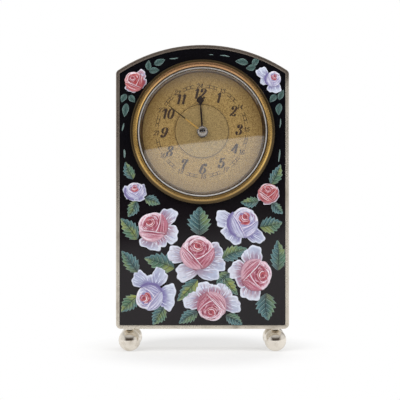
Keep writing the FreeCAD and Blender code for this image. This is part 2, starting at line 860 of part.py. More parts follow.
def dial():
    """The dial with its two feet, and the sloping ring in front of it."""
    out = s.tube_in - s.ring_fit
    keep(turned("dial_ring_turned", centre, [
        (out, s.ledge_back), (out, dial_front), (s.dial_seen, dial_front),
        (s.slope_wide, s.ledge_back)]), "dial_ring")
    disc = plate("dial_disc", dial_front, s.dial_thick,
                 circles=[(centre, s.dial_round), (centre, s.dial_hole)])
    legs = []
    for index in range(2):
        at = polar(centre, s.dial_foot_out, s.dial_foot_turn + index * 180)
        legs.append(rod(f"dial_foot_{index}", at, dial_front + s.dial_thick / 2,
                        plate_front + s.plate_deep / 2, s.dial_foot_round))
    keep(fused("dial_blank", [disc] + legs), "dial")


def drum():
    """The brass drum: a flange on the backing plate, a seat for the bezel's tube and a ledge."""
    ledge_back = plate_back + s.drum_ledge_deep
    flange_back = backing_back + s.flange_deep
    seat = s.tube_out + s.ring_fit
    blank = turned("drum_turned", centre, [
        (seat, backing_back), (seat, s.tube_back), (s.tube_in, s.tube_back), (s.tube_in, plate_back),
        (s.drum_ledge_in, plate_back), (s.drum_ledge_in, ledge_back), (s.tube_in, ledge_back),
        (s.tube_in, s.drum_back), (s.drum_out, s.drum_back), (s.drum_out, flange_back),
        (s.flange_round, flange_back), (s.flange_round, backing_back)])
    holes = [rod(f"flange_hole_{index}", at, backing_back - s.overrun, flange_back + s.overrun,
                 s.screw_round)
             for index, at in enumerate(flange_places())]
    keep(cut("drum_cut", blank, holes), "movement_drum")
    screws = [screw(f"flange_screw_{index}", at, flange_back, s.flange_deep + s.backing_deep / 2)
              for index, at in enumerate(flange_places())]
    keep(group("flange_screw_set", screws), "drum_screws")


# Plates and bridges

barrel_feet = [polar(centre, s.foot_out, turn) for turn in (s.barrel_foot_one, s.barrel_foot_two)]
train_feet = [polar(centre, s.foot_out, turn) for turn in
              (s.train_foot_one, s.train_foot_two, s.train_foot_three, s.train_foot_four)]
balance_foot = polar(centre, s.balance_foot_out, s.balance_foot_turn)
pallet_foot = polar(centre, s.pallet_foot_out, s.pallet_foot_turn)
case_screw_places = [polar(centre, s.case_screw_out, turn) for turn in
                     (s.case_screw_one, s.case_screw_two, s.case_screw_three)]
LOW_JEWELS = [centre, third_at, fourth_at, escape_at, pallet_at, balance_at]
BRIDGE_JEWELS = [centre, third_at, fourth_at, escape_at]
pallet_cock_front = plate_back + s.pallet_cock_low
pallet_cock_back = pallet_cock_front + s.pallet_cock_thick


def mainplate():
    """The main plate, with the motion work's recess in front and jewel seats behind."""
    disc = rod("mainplate_disc", centre, plate_front, plate_back, s.tube_in - s.ring_fit)
    recess_back = plate_front + s.recess_deep
    tools = [
        rod("motion_recess", centre, plate_front - s.overrun, recess_back, s.recess_round),
        rod("setting_recess", setting_at, plate_front - s.overrun, recess_back, s.recess_side),
        rod("setting_bore", setting_at, plate_front, plate_back + s.overrun,
            s.setting_shaft + s.shaft_play),
        rod("barrel_bore", barrel_at, plate_back - s.jewel_high, plate_back + s.overrun,
            s.barrel_shaft + s.shaft_play),
        rod("centre_bore", centre, plate_front, plate_back + s.overrun, s.arbor_round + s.shaft_play),
        rod("minute_post_hole", minute_at, recess_back - s.overrun, recess_back + s.jewel_low,
            s.minute_post),
    ]
    for index, at in enumerate(LOW_JEWELS[1:]):
        tools.append(rod(f"low_seat_{index}", at, plate_back - s.jewel_low, plate_back + s.overrun,
                         s.jewel_round))
    for index, at in enumerate(barrel_feet + train_feet + [balance_foot, pallet_foot]):
        tools.append(rod(f"foot_thread_{index}", at, plate_back - s.screw_bite, plate_back + s.overrun,
                         s.screw_round))
    for index, at in enumerate(case_screw_places):
        tools.append(rod(f"case_thread_{index}", at, plate_back - s.screw_bite, plate_back + s.overrun,
                         s.screw_round))
    for index in range(2):
        at = polar(centre, s.dial_foot_out, s.dial_foot_turn + index * 180)
        tools.append(rod(f"dial_foot_hole_{index}", at, plate_front - s.overrun,
                         plate_front + s.plate_deep / 2, s.dial_foot_round))
    keep(cut("mainplate_cut", disc, tools), "mainplate")
    seat = plate_back + s.drum_ledge_deep
    screws = [screw(f"case_screw_{index}", at, seat, s.drum_ledge_deep + s.screw_bite)
              for index, at in enumerate(case_screw_places)]
    keep(group("case_screw_set", screws), "case_screws")


def slab(name, near, far):
    """The part of the bridges' disc between two distances along the barrel's direction."""
    disc = rod(name + "_disc", centre, bridge_front, bridge_back, s.bridge_round)
    wide = s.bridge_round + s.overrun
    bar = doc.addObject("Part::Box", name + "_bar")
    bind(bar, Length=far - near, Width=s.bridge_thick + 2 * s.overrun, Height=2 * wide)
    bar.Placement = Placement(Vector(), Rotation(Vector(0, 1, 0), -s.barrel_way.value))
    bar.setExpression("Placement.Rotation.Angle", (0 - s.barrel_way).text)
    put(bar, centre[0] + near * cosine(s.barrel_way) + wide * sine(s.barrel_way),
        deep(bridge_front - s.overrun),
        centre[1] + near * sine(s.barrel_way) - wide * cosine(s.barrel_way))
    item = doc.addObject("Part::Common", name)
    item.Base = disc
    item.Tool = bar
    return item


def pillars(name, feet_places, front, back):
    return [rod(f"{name}_pillar_{index}", at, front, back, s.bridge_foot)
            for index, at in enumerate(feet_places)]


def threads(name, feet_places, front, back):
    return [rod(f"{name}_thread_{index}", at, front, back, s.screw_round)
            for index, at in enumerate(feet_places)]


def bridges():
    """The barrel bridge, the train bridge, and the two cocks."""
    far = s.bridge_round + s.overrun
    top = slab("barrel_slab", s.bridge_edge + s.bridge_split / 2, far)
    clear = capsule("cock_room", balance_at, balance_foot, s.cock_table + s.cock_clear,
                    bridge_front - s.overrun, bridge_back + s.overrun)
    table = cut("barrel_table", top, [clear])
    blank = fused("barrel_bridge_blank", [table] + pillars("barrel", barrel_feet, plate_back, bridge_back))
    through = plate_back - s.overrun, bridge_back + s.overrun
    holes = threads("barrel", barrel_feet, *through)
    holes.append(rod("barrel_bridge_bore", barrel_at, *through, s.barrel_shaft + s.shaft_play))
    holes.append(rod("click_thread", click_at, *through, s.screw_round))
    holes.append(rod("spring_thread", spring_eye(), *through, s.screw_round))
    keep(cut("barrel_bridge_cut", blank, holes), "barrel_bridge")

    low = slab("train_slab", -far, s.bridge_edge - s.bridge_split / 2)
    window = rod("balance_window", balance_at, bridge_front - s.overrun, bridge_back + s.overrun,
                 s.balance_window)
    table = cut("train_table", low, [window])
    blank = fused("train_bridge_blank", [table] + pillars("train", train_feet, plate_back, bridge_back))
    holes = threads("train", train_feet, *through)
    holes.append(rod("train_setting_bore", setting_at, *through, s.setting_shaft + s.shaft_play))
    for index, at in enumerate(BRIDGE_JEWELS):
        holes.append(rod(f"high_seat_{index}", at, *through, s.jewel_round))
    keep(cut("train_bridge_cut", blank, holes), "train_bridge")

    arm = capsule("cock_arm", balance_at, balance_foot, s.cock_arm, bridge_front, bridge_back)
    disc = rod("cock_disc", balance_at, bridge_front, bridge_back, s.cock_table)
    stud_at = polar(balance_at, s.hair_round, s.stud_turn)
    stud = rod("hair_stud", stud_at, plate_back + s.hair_level, bridge_front + s.bridge_thick / 2,
               s.stud_pin)
    blank = fused("balance_cock_blank",
                  [arm, disc, stud] + pillars("balance", [balance_foot], plate_back, bridge_back))
    holes = threads("balance", [balance_foot], *through)
    holes.append(rod("balance_seat", balance_at, *through, s.jewel_round))
    keep(cut("balance_cock_cut", blank, holes), "balance_cock")

    arm = capsule("pallet_arm", pallet_at, pallet_foot, s.pallet_cock_arm, pallet_cock_front,
                  pallet_cock_back)
    blank = fused("pallet_cock_blank",
                  [arm] + pillars("pallet", [pallet_foot], plate_back, pallet_cock_back))
    holes = threads("pallet", [pallet_foot], plate_back - s.overrun, pallet_cock_back + s.overrun)
    holes.append(rod("pallet_bore", pallet_at, pallet_cock_front - s.overrun,
                     pallet_cock_back + s.overrun, s.pivot_round + s.pivot_play))
    keep(cut("pallet_cock_cut", blank, holes), "pallet_cock")

    length = bridge_back - plate_back + s.screw_bite
    screws = [screw(f"bridge_screw_{index}", at, bridge_back, length)
              for index, at in enumerate(barrel_feet + train_feet + [balance_foot])]
    screws.append(screw("pallet_screw", pallet_foot, pallet_cock_back,
                        pallet_cock_back - plate_back + s.screw_bite))
    seat = bridge_back + s.ratchet_lift + s.ratchet_thick + s.ratchet_lift
    screws.append(screw("click_screw", click_at, seat, seat - bridge_front))
    screws.append(screw("spring_screw", spring_eye(), seat, seat - bridge_front))
    keep(group("bridge_screw_set", screws), "bridge_screws")


def jewels():
    """Ruby bearings in the main plate, the train bridge and the balance cock."""
    stones = []
    for index, at in enumerate(LOW_JEWELS[1:]):
        stone = rod(f"low_stone_{index}", at, plate_back - s.jewel_low, plate_back, s.jewel_round)
        hole = rod(f"low_stone_hole_{index}", at, plate_back - s.jewel_low - s.overrun,
                   plate_back + s.overrun, s.pivot_round + s.pivot_play)
        stones.append(cut(f"low_jewel_{index}", stone, [hole]))
    for index, at in enumerate(BRIDGE_JEWELS + [balance_at]):
        stone = rod(f"high_stone_{index}", at, bridge_front, bridge_front + s.jewel_high, s.jewel_round)
        hole = rod(f"high_stone_hole_{index}", at, bridge_front - s.overrun, bridge_back,
                   s.pivot_round + s.pivot_play)
        stones.append(cut(f"high_jewel_{index}", stone, [hole]))
    keep(group("jewel_set", stones), "jewels")


# Toothed wheels

TOOTH_SHARES = ((-DEDENDUM, -0.3), (0, -0.23), (ADDENDUM, -0.1),
                (ADDENDUM, 0.1), (0, 0.23), (-DEDENDUM, 0.3))
CLUB_SHARES = ((0, -0.3), (1, -0.12), (1, 0.14), (0.72, 0.1), (0, 0.02))
SAW_SHARES = ((0, 0), (1, 0), (1, 0.12))
WHEEL_ARMS = 5
ESCAPE_ARMS = 4


def ring_of(points, count, turn):
    """Points of one tooth, repeated round a circle: each is (radius, share of the pitch)."""
    pitch = 360 / count
    places = []
    for index in range(count):
        for radius, share in points:
            angle = math.radians(turn + (index + share) * pitch)
            places.append(Vector(radius * math.cos(angle), 0, radius * math.sin(angle)))
    return places


def between(shares, foot, tip):
    """A tooth's points, whose heights are shares of the way from its foot to its tip."""
    return [(foot + (tip - foot) * high, share) for high, share in shares]


def extruded(places, thick):
    return Part.Face(Part.makePolygon(places + places[:1])).extrude(Vector(0, thick, 0))


def disc_at(radius, thick, front=0.0):
    return Part.makeCylinder(radius, thick, Vector(0, front, 0), Vector(0, 1, 0))


def gear(teeth, module, thick, turn, bore=0.0):
    """A gear about Y, its front at zero depth; turn is the direction of one tooth's middle."""
    middle = teeth * module / 2
    profile = [(middle + module * height, share) for height, share in TOOTH_SHARES]
    solid = extruded(ring_of(profile, teeth, turn), thick)
    if bore:
        solid = solid.cut(disc_at(bore, thick))
    return solid


def spoked(solid, rim_in, hub, thick, arms):
    """Open a wheel between its hub and its rim, leaving straight arms."""
    window = disc_at(rim_in, thick).cut(disc_at(hub, thick))
    wide = s.arm_wide.value
    for index in range(arms):
        arm = Part.makeBox(rim_in + wide, thick, wide, Vector(0, 0, -wide / 2))
        arm.rotate(Vector(), Vector(0, 1, 0), index * 360 / arms)
        window = window.cut(arm)
    return solid.cut(window)


def meshed(turn, teeth, way, other):
    """The turn that puts another gear's gap on this gear's tooth, along the line between them."""
    share = (turn - way) * teeth / 360 + 0.5
    return way + 180 - share * 360 / other


def shaped(name, shape, at, front):
    """A piece with a shape of its own, made about Y and set at its arbor and depth."""
    item = doc.addObject("Part::Feature", name)
    item.Shape = shape
    item.Placement = Placement(Vector(float(at[0]), float(deep(front)), float(at[1])), Rotation())
    return item


def count_of(size):
    return int(size.value)


centre_turn = 0.0
barrel_turn = meshed(centre_turn, count_of(s.centre_leaves), s.barrel_way.value, count_of(s.barrel_teeth))
third_turn = meshed(centre_turn, count_of(s.centre_teeth), s.third_way.value, count_of(s.third_leaves))
fourth_turn = meshed(third_turn, count_of(s.third_teeth), s.fourth_way.value, count_of(s.fourth_leaves))
escape_turn = meshed(fourth_turn, count_of(s.fourth_teeth), s.escape_way.value, count_of(s.escape_leaves))
minute_turn = meshed(centre_turn, count_of(s.cannon_leaves), s.minute_way.value, count_of(s.minute_teeth))
hour_turn = meshed(minute_turn, count_of(s.minute_leaves), s.minute_way.value + 180, count_of(s.hour_teeth))
setting_turn = meshed(minute_turn, count_of(s.minute_teeth), s.setting_way.value, count_of(s.setting_leaves))


def arbor(label, at, pinion, leaf_front, steps):
    """A turned arbor with its leaves, as one piece."""
    shaft = stepped(label + "_shaft", at, steps)
    leaves = shaped(label + "_leaves", pinion, at, leaf_front)
    keep(fused(label + "_blank", [shaft, leaves]), label)


def train_steps():
    """Where a train arbor's pivots and body begin and end."""
    return (plate_back - s.jewel_low + s.pivot_spare, plate_back + s.arbor_spare,
            bridge_front - s.arbor_spare, bridge_front + s.jewel_high - s.pivot_spare)


def plain_steps():
    low, start, end, high = train_steps()
    return [(low, start, s.pivot_round), (start, end, s.arbor_round), (end, high, s.pivot_round)]


def wheel(label, teeth, module, turn, at, level):
    thick = s.wheel_thick.value
    outer = teeth * module / 2
    solid = gear(teeth, module, thick, turn, s.arbor_round.value)
    solid = spoked(solid, outer * s.rim_share.value, outer * s.hub_share.value, thick, WHEEL_ARMS)
    keep(shaped(label + "_cut", solid, at, plate_back + level), label)


def train():
    """The centre, third, fourth and escape wheels on their arbors."""
    leaf = s.leaf_wide.value
    low, start, end, high = train_steps()
    barrel_teeth_front = plate_back + s.barrel_level
    arbor("centre_arbor", centre,
          gear(count_of(s.centre_leaves), s.barrel_module.value, leaf, centre_turn),
          barrel_teeth_front - (s.leaf_wide - s.barrel_tooth_thick) / 2,
          [(s.cannon_front, start, s.arbor_round - s.cannon_fit), (start, end, s.arbor_round),
           (end, high, s.pivot_round)])
    wheel("centre_wheel", count_of(s.centre_teeth), s.centre_module.value, centre_turn, centre,
          s.centre_level)
    middle = (s.leaf_wide - s.wheel_thick) / 2
    arbor("third_arbor", third_at,
          gear(count_of(s.third_leaves), s.centre_module.value, leaf, third_turn),
          plate_back + s.centre_level - middle, plain_steps())
    wheel("third_wheel", count_of(s.third_teeth), s.third_module.value, third_turn, third_at,
          s.third_level)
    arbor("fourth_arbor", fourth_at,
          gear(count_of(s.fourth_leaves), s.third_module.value, leaf, fourth_turn),
          plate_back + s.third_level - middle, plain_steps())
    wheel("fourth_wheel", count_of(s.fourth_teeth), s.fourth_module.value, fourth_turn, fourth_at,
          s.fourth_level)
    arbor("escape_arbor", escape_at,
          gear(count_of(s.escape_leaves), s.fourth_module.value, leaf, escape_turn),
          plate_back + s.fourth_level - middle, plain_steps())
    thick = s.wheel_thick.value
    tip, foot = s.escape_round.value, s.escape_root.value
    solid = extruded(ring_of(between(CLUB_SHARES, foot, tip), count_of(s.escape_teeth), 0), thick)
    solid = solid.cut(disc_at(s.arbor_round.value, thick))
    solid = spoked(solid, foot * s.rim_share.value, foot * 2 * s.hub_share.value, thick, ESCAPE_ARMS)
    keep(shaped("escape_wheel_cut", solid, escape_at, plate_back + s.escape_level), "escape_wheel")


SPIRAL_STEPS = 24


def strip_spiral(inner, outer, turns, strip, tall, last=0.0):
    """A flat spiral strip about Y, whose outer end lies in a direction, as one extruded face."""
    steps = int(turns * SPIRAL_STEPS)
    near, far = [], []
    for index in range(steps + 1):
        share = index / steps
        angle = math.radians(last) - 2 * math.pi * turns * (1 - share)
        radius = inner + (outer - inner) * share
        for places, offset in ((near, -strip / 2), (far, strip / 2)):
            out = radius + offset
            places.append(Vector(out * math.cos(angle), 0, out * math.sin(angle)))
    sides = []
    for places in (near, far):
        curve = Part.BSplineCurve()
        curve.interpolate(places)
        sides.append(curve.toShape())
    ends = [Part.makeLine(near[0], far[0]), Part.makeLine(near[-1], far[-1])]
    wire = Part.Wire(Part.__sortEdges__(sides + ends))
    return Part.Face(wire).extrude(Vector(0, tall, 0))


def barrel():
    """The going barrel with its teeth, its lid, the mainspring inside and the arbor through it."""
    module, teeth = s.barrel_module.value, count_of(s.barrel_teeth)
    inside = module * (teeth / 2 - DEDENDUM) - s.barrel_wall.value
    thick = s.barrel_thick.value
    lid = s.barrel_lid.value
    hole = s.barrel_shaft.value + s.shaft_play.value
    rim = gear(teeth, module, s.barrel_tooth_thick.value, barrel_turn)
    drum_out = inside + s.barrel_wall.value
    solid = rim.fuse(disc_at(drum_out, thick)).cut(disc_at(inside, thick, lid)).cut(disc_at(hole, thick))
    front = plate_back + s.barrel_level
    keep(shaped("barrel_drum", solid.removeSplitter(), barrel_at, front), "barrel")
    cover = disc_at(inside, lid).cut(disc_at(hole, lid))
    cover_front = front + s.barrel_thick - s.barrel_lid
    keep(shaped("barrel_cover_disc", cover, barrel_at, cover_front), "barrel_cover")
    core = s.barrel_core.value
    strip = s.spring_strip.value
    tall = thick - 2 * lid - 2 * s.arbor_spare.value
    coil = strip_spiral(core + strip, inside - strip, s.spring_turns.value, strip, tall)
    keep(shaped("mainspring_strip", coil, barrel_at, front + s.barrel_lid + s.arbor_spare), "mainspring")
    inner_front = front + s.barrel_lid + s.shaft_play
    inner_back = front + s.barrel_thick - s.barrel_lid - s.shaft_play
    shaft = stepped("barrel_shaft_turned", barrel_at, [
        (plate_back - s.jewel_high + s.pivot_spare, inner_front, s.barrel_shaft),
        (inner_front, inner_back, s.barrel_core),
        (inner_back, bridge_back, s.barrel_shaft)])
    side = s.square_side / 2
    square = block("winding_square", (barrel_at[0] - side, barrel_at[0] + side),
                   (deep(bridge_back - s.bridge_thick / 2), deep(s.square_back)),
                   (barrel_at[1] - side, barrel_at[1] + side))
    hole = rod("square_thread", barrel_at, s.square_back - s.screw_bite, s.square_back + s.overrun,
               s.screw_round)
    keep(cut("barrel_arbor_cut", fused("barrel_arbor_blank", [shaft, square]), [hole]), "barrel_arbor")


def saw_wheel(teeth, tip, foot, thick, square):
    """A ratchet wheel with one steep and one sloping side to each tooth, and a square hole."""
    solid = extruded(ring_of(between(SAW_SHARES, foot, tip), teeth, 0), thick)
    hole = Part.makeBox(square, thick, square, Vector(-square / 2, 0, -square / 2))
    return solid.cut(hole)


def spring_eye():
    """Where the click spring's screw sits."""
    return polar(click_at, s.click_spring_round, s.click_spring_from + s.click_spring_sweep)


def arc_strip(radius, wide, begin, end, thick):
    """A strip bent to an arc about Y, between two directions."""
    def arc(size, *turns):
        return [Vector(size * math.cos(math.radians(turn)), 0, size * math.sin(math.radians(turn)))
                for turn in turns]

    middle = (begin + end) / 2
    outside = arc(radius + wide / 2, begin, middle, end)
    inside = arc(radius - wide / 2, end, middle, begin)
    edges = [Part.Arc(*outside).toShape(), Part.makeLine(outside[-1], inside[0]),
             Part.Arc(*inside).toShape(), Part.makeLine(inside[-1], outside[0])]
    return Part.Face(Part.Wire(edges)).extrude(Vector(0, thick, 0))


def winding():
    """Ratchet wheel, click and its spring behind the barrel bridge, and the winding key."""
    thick = s.ratchet_thick.value
    front = bridge_back + s.ratchet_lift
    solid = saw_wheel(count_of(s.ratchet_teeth), s.ratchet_round.value, s.ratchet_root.value, thick,
                      s.square_side.value)
    keep(shaped("ratchet_wheel_cut", solid, barrel_at, front), "ratchet_wheel")

    hub = Vector(float(click_at[0]), 0, float(click_at[1]))
    tip_at = polar(barrel_at, s.ratchet_round + s.click_tip_gap, s.click_tip_turn)
    tip = Vector(float(tip_at[0]), 0, float(tip_at[1])) - hub
    side = Vector(-tip.z, 0, tip.x).normalize() * (s.click_round.value * s.click_beak_share.value)
    beak = extruded([side, tip, side * -1], thick)
    solid = disc_at(s.click_round.value, thick).fuse(beak)
    solid = solid.cut(disc_at(s.screw_round.value + s.shaft_play.value, thick))
    keep(shaped("click_cut", solid, click_at, front), "click")

    radius, wide = s.click_spring_round.value, s.click_spring_thick.value
    begin, sweep = s.click_spring_from.value, s.click_spring_sweep.value
    ring = arc_strip(radius, wide, begin, begin + sweep, thick)
    place = spring_eye()
    eye_at = Vector(float(place[0] - click_at[0]), 0, float(place[1] - click_at[1]))
    along = Vector(0, 1, 0)
    eye = Part.makeCylinder(s.screw_round.value * s.spring_eye_share.value, thick, eye_at, along)
    hole = Part.makeCylinder(s.screw_round.value, thick, eye_at, along)
    solid = ring.fuse(eye).cut(hole)
    keep(shaped("click_spring_cut", solid, click_at, front), "click_spring")
    key()


def key():
    """The winding key: a hub on the square, two wings, and its screw."""
    hub = rod("key_hub_turned", barrel_at, s.key_front, s.key_back, s.key_hub)
    wing_front = s.key_back - s.key_wing_deep
    wing = capsule("key_wings", (barrel_at[0] - s.key_wing + s.key_wing_round, barrel_at[1]),
                   (barrel_at[0] + s.key_wing - s.key_wing_round, barrel_at[1]), s.key_wing_round,
                   wing_front, s.key_back)
    side = s.square_side / 2
    socket = block("key_socket", (barrel_at[0] - side, barrel_at[0] + side),
                   (deep(s.key_front - s.overrun), deep(s.square_back)),
                   (barrel_at[1] - side, barrel_at[1] + side))
    hole = rod("key_hole", barrel_at, s.square_back - s.overrun, s.key_back + s.overrun, s.screw_round)
    keep(cut("key_cut", fused("key_blank", [hub, wing]), [socket, hole]), "winding_key")
    screw_long = s.key_back - s.square_back + s.screw_bite
    keep(screw("key_screw_cut", barrel_at, s.key_back, screw_long), "key_screw")


def motion_work():
    """Cannon pinion, minute wheel on its post, hour wheel and the setting arbor with its knob."""
    module = s.motion_module.value
    leaf = float(s.cannon_teeth_back - s.cannon_teeth_front)
    tube = turned("cannon_tube", centre, [
        (s.cannon_bore, s.cannon_front), (s.cannon_bore, s.cannon_teeth_back),
        (s.cannon_round, s.cannon_teeth_back), (s.cannon_round, s.cannon_front)])
    leaves = shaped("cannon_leaves_cut",
                    gear(count_of(s.cannon_leaves), module, leaf, centre_turn, s.cannon_bore.value),
                    centre, s.cannon_teeth_front)
    keep(fused("cannon_blank", [tube, leaves]), "cannon_pinion")

    bore = s.minute_post.value + s.shaft_play.value
    thick = s.minute_wheel_thick.value
    rise = float(s.minute_wheel_front - s.minute_leaf_front)
    leaves = gear(count_of(s.minute_leaves), module, rise + thick / 2, minute_turn, bore)
    ring = gear(count_of(s.minute_teeth), module, thick, minute_turn, bore)
    ring.translate(Vector(0, rise, 0))
    keep(shaped("minute_wheel_cut", leaves.fuse(ring), minute_at, s.minute_leaf_front), "minute_wheel")
    recess_back = plate_front + s.recess_deep
    keep(rod("minute_post_rod", minute_at, s.minute_leaf_front, recess_back + s.jewel_low, s.minute_post),
         "minute_wheel_post")

    tube = turned("hour_tube", centre, [
        (s.hour_tube_in, s.hour_tube_front), (s.hour_tube_in, s.hour_wheel_front + s.hour_wheel_thick),
        (s.hour_tube_out, s.hour_wheel_front + s.hour_wheel_thick), (s.hour_tube_out, s.hour_tube_front)])
    ring = shaped("hour_ring",
                  gear(count_of(s.hour_teeth), module, s.hour_wheel_thick.value, hour_turn,
                       s.hour_tube_in.value), centre, s.hour_wheel_front)
    keep(fused("hour_wheel_blank", [tube, ring]), "hour_wheel")

    shaft = stepped("setting_shaft_turned", setting_at, [
        (s.minute_leaf_front, (s.knob_front + s.knob_back) / 2, s.setting_shaft)])
    leaves = shaped("setting_leaves_cut", gear(count_of(s.setting_leaves), module, leaf, setting_turn),
                    setting_at, s.cannon_teeth_front)
    keep(fused("setting_blank", [shaft, leaves]), "setting_arbor")
    deepest = float(s.knob_back - s.knob_front)
    knob = disc_at(s.knob_round.value, deepest)
    knob = knob.cut(disc_at(s.setting_shaft.value, deepest / 2))
    flutes = []
    for index in range(count_of(s.knob_grooves)):
        angle = math.radians(index * 360 / count_of(s.knob_grooves))
        place = Vector(s.knob_round.value * math.cos(angle), 0, s.knob_round.value * math.sin(angle))
        flutes.append(Part.makeCylinder(s.knob_groove.value, deepest, place, Vector(0, 1, 0)))
    knob = knob.cut(Part.makeCompound(flutes))
    keep(shaped("setting_knob_cut", knob, setting_at, s.knob_front), "setting_knob")


def escapement():
    """Pallet fork, balance with staff and roller, hairspring and regulator."""
    level = plate_back + s.escape_level
    thick = s.wheel_thick.value
    wheel_way = s.pallet_way.value + 180
    lever_way = s.balance_way.value
    reach = s.escape_round.value + s.pallet_clear.value
    span = s.pallet_reach.value
    arms = []
    for turn in (-s.pallet_spread.value, s.pallet_spread.value):
        angle = math.radians(wheel_way + 180 + turn)
        tip = Vector(span * math.cos(math.radians(wheel_way)) + reach * math.cos(angle), 0,
                     span * math.sin(math.radians(wheel_way)) + reach * math.sin(angle))
        arms.append(bar_to(tip, s.pallet_arm.value, thick))
    fork_end = s.fork_span.value - s.impulse_out.value - s.impulse_round.value - s.fork_gap.value
    angle = math.radians(lever_way)
    tip = Vector(fork_end * math.cos(angle), 0, fork_end * math.sin(angle))
    arms.append(bar_to(tip, s.pallet_arm.value, thick))
    across = Vector(-tip.z, 0, tip.x).normalize() * (s.fork_wide.value / 2)
    back = tip * (1 - s.pallet_arm.value / fork_end)
    arms.append(extruded([back + across, tip + across, tip - across, back - across], thick))
    solid = disc_at(s.pallet_hub.value, thick)
    solid = solid.fuse(arms)
    low, start, _, _ = train_steps()
    staff_back = pallet_cock_back - s.pivot_spare
    staff = stepped("pallet_staff", pallet_at, [
        (low, start, s.pivot_round), (start, pallet_cock_front - s.arbor_spare, s.arbor_round),
        (pallet_cock_front - s.arbor_spare, staff_back, s.pivot_round)])
    lever = shaped("pallet_lever", solid, pallet_at, level)
    keep(fused("pallet_fork_blank", [lever, staff]), "pallet_fork")

    rim_in = s.balance_round.value - s.balance_rim.value
    tall = s.balance_thick.value
    solid = disc_at(s.balance_round.value, tall).cut(disc_at(rim_in, tall))
    arm_wide = s.balance_arm.value
    bar = Part.makeBox(2 * rim_in + arm_wide / 2, tall / 2, arm_wide,
                       Vector(-rim_in - arm_wide / 4, 0, -arm_wide / 2))
    solid = solid.fuse([bar, disc_at(s.balance_hub.value, tall / 2)])
    solid = solid.cut(disc_at(s.arbor_round.value, tall))
    keep(shaped("balance_wheel_cut", solid, balance_at, plate_back + s.balance_level), "balance_wheel")

    low, start, end, high = train_steps()
    collet_front = plate_back + s.hair_level - s.arbor_spare
    collet_back = plate_back + s.hair_level + s.hair_tall + s.arbor_spare
    roller_front = plate_back + s.roller_level
    roller_back = roller_front + s.roller_thick
    staff = stepped("balance_staff_turned", balance_at, [
        (low, start, s.pivot_round), (start, roller_front, s.arbor_round),
        (roller_front, roller_back, s.roller_round), (roller_back, collet_front, s.arbor_round),
        (collet_front, collet_back, s.collet_round), (collet_back, end, s.arbor_round),
        (end, high, s.pivot_round)])
    pin_at = polar(balance_at, s.impulse_out, s.balance_way + 180)
    pin = rod("impulse_pin", pin_at, level, roller_front + s.roller_thick / 2, s.impulse_round)
    keep(fused("balance_staff_blank", [staff, pin]), "balance_staff")
    coil = strip_spiral(s.collet_round.value + s.hair_strip.value / 2,
                        s.hair_round.value - s.stud_pin.value - s.hair_strip.value, s.hair_turns.value,
                        s.hair_strip.value, s.hair_tall.value, s.stud_turn.value)
    keep(shaped("hairspring_strip", coil, balance_at, plate_back + s.hair_level), "hairspring")

    reach_at = polar(balance_at, s.regulator_reach, s.regulator_turn)
    back = bridge_back + s.regulator_thick + s.ratchet_lift
    arm = capsule("regulator_arm", balance_at, reach_at, s.regulator_wide / 2,
                  bridge_back + s.ratchet_lift, back)
    disc = rod("regulator_disc", balance_at, bridge_back + s.ratchet_lift, back, s.regulator_ring)
    hole = rod("regulator_bore", balance_at, bridge_back - s.overrun, back + s.overrun, s.regulator_hole)
    keep(cut("regulator_cut", fused("regulator_blank", [arm, disc]), [hole]), "regulator")


def bar_to(tip, wide, thick):
    """A straight bar about Y from the axis to a point."""
    side = Vector(-tip.z, 0, tip.x).normalize() * (wide / 2)
    return extruded([side, tip + side, tip - side, side * -1], thick)


def hands():
    """Hour hand with its pear-shaped bulb, needle minute hand and the silver cap."""
    stem, bulb = s.hour_stem / 2, s.bulb_wide / 2
    point = s.hour_point_wide / 2
    hour = doc.addObject("PartDesign::Body", "hour_hand_body")
    flat = sketch(hour, "XZ_Plane", "hour_hand_outline")
    chain(flat, [
        (-stem, 0 * stem), (stem, 0 * stem), (stem, s.bulb_start),
        (bulb, s.bulb_mid, s.bulb_low_arc, -1), (point, s.bulb_end, s.bulb_high_arc, 1),
        (point, s.hour_point), (-point, s.hour_point), (-point, s.bulb_end),
        (-bulb, s.bulb_mid, s.bulb_high_arc, 1), (-stem, s.bulb_start, s.bulb_low_arc, -1)])
    pad = hour.newObject("PartDesign::Pad", "hour_hand_pad")
    pad.Profile = flat
    pad.Reversed = True
    bind(pad, Length=s.hand_thick)
    aimed(hour, s.hour_hand_turn, s.hour_hand_front)
    disc = rod("hour_hub_disc", centre, s.hour_hand_front, s.hour_hand_front + s.hand_thick, s.hour_hub)
    hole = rod("hour_hub_bore", centre, s.hour_hand_front - s.overrun, s.hour_hand_front + s.overrun,
               s.hour_tube_out)
    keep(cut("hour_hand_cut", fused("hour_hand_blank", [hour, disc]), [hole]), "hour_hand")

    wide, point = s.minute_hand_wide / 2, s.minute_hand_point / 2
    minute = doc.addObject("PartDesign::Body", "minute_hand_body")
    flat = sketch(minute, "XZ_Plane", "minute_hand_outline")
    chain(flat, [(-wide, 0 * wide), (wide, 0 * wide), (point, s.minute_hand_long),
                 (-point, s.minute_hand_long)])
    pad = minute.newObject("PartDesign::Pad", "minute_hand_pad")
    pad.Profile = flat
    pad.Reversed = True
    bind(pad, Length=s.hand_thick)
    aimed(minute, s.minute_hand_turn, s.minute_hand_front)
    back = s.minute_hand_front + s.hand_thick
    disc = rod("minute_hub_disc", centre, s.hub_front, back, s.minute_hub)
    hole = rod("minute_hub_bore", centre, s.cannon_front, back + s.overrun, s.cannon_round)
    keep(cut("minute_hand_cut", fused("minute_hand_blank", [minute, disc]), [hole]), "minute_hand")
    keep(turned("cap_turned", centre, [
        (s.minute_hub, s.minute_hand_front), (s.minute_hub, s.cap_front),
        (s.cap_round - s.hand_thick, s.cap_front),
        (s.cap_round, s.cap_front + s.hand_thick, s.hand_thick, 1),
        (s.cap_round, s.minute_hand_front)]), "hand_cap")


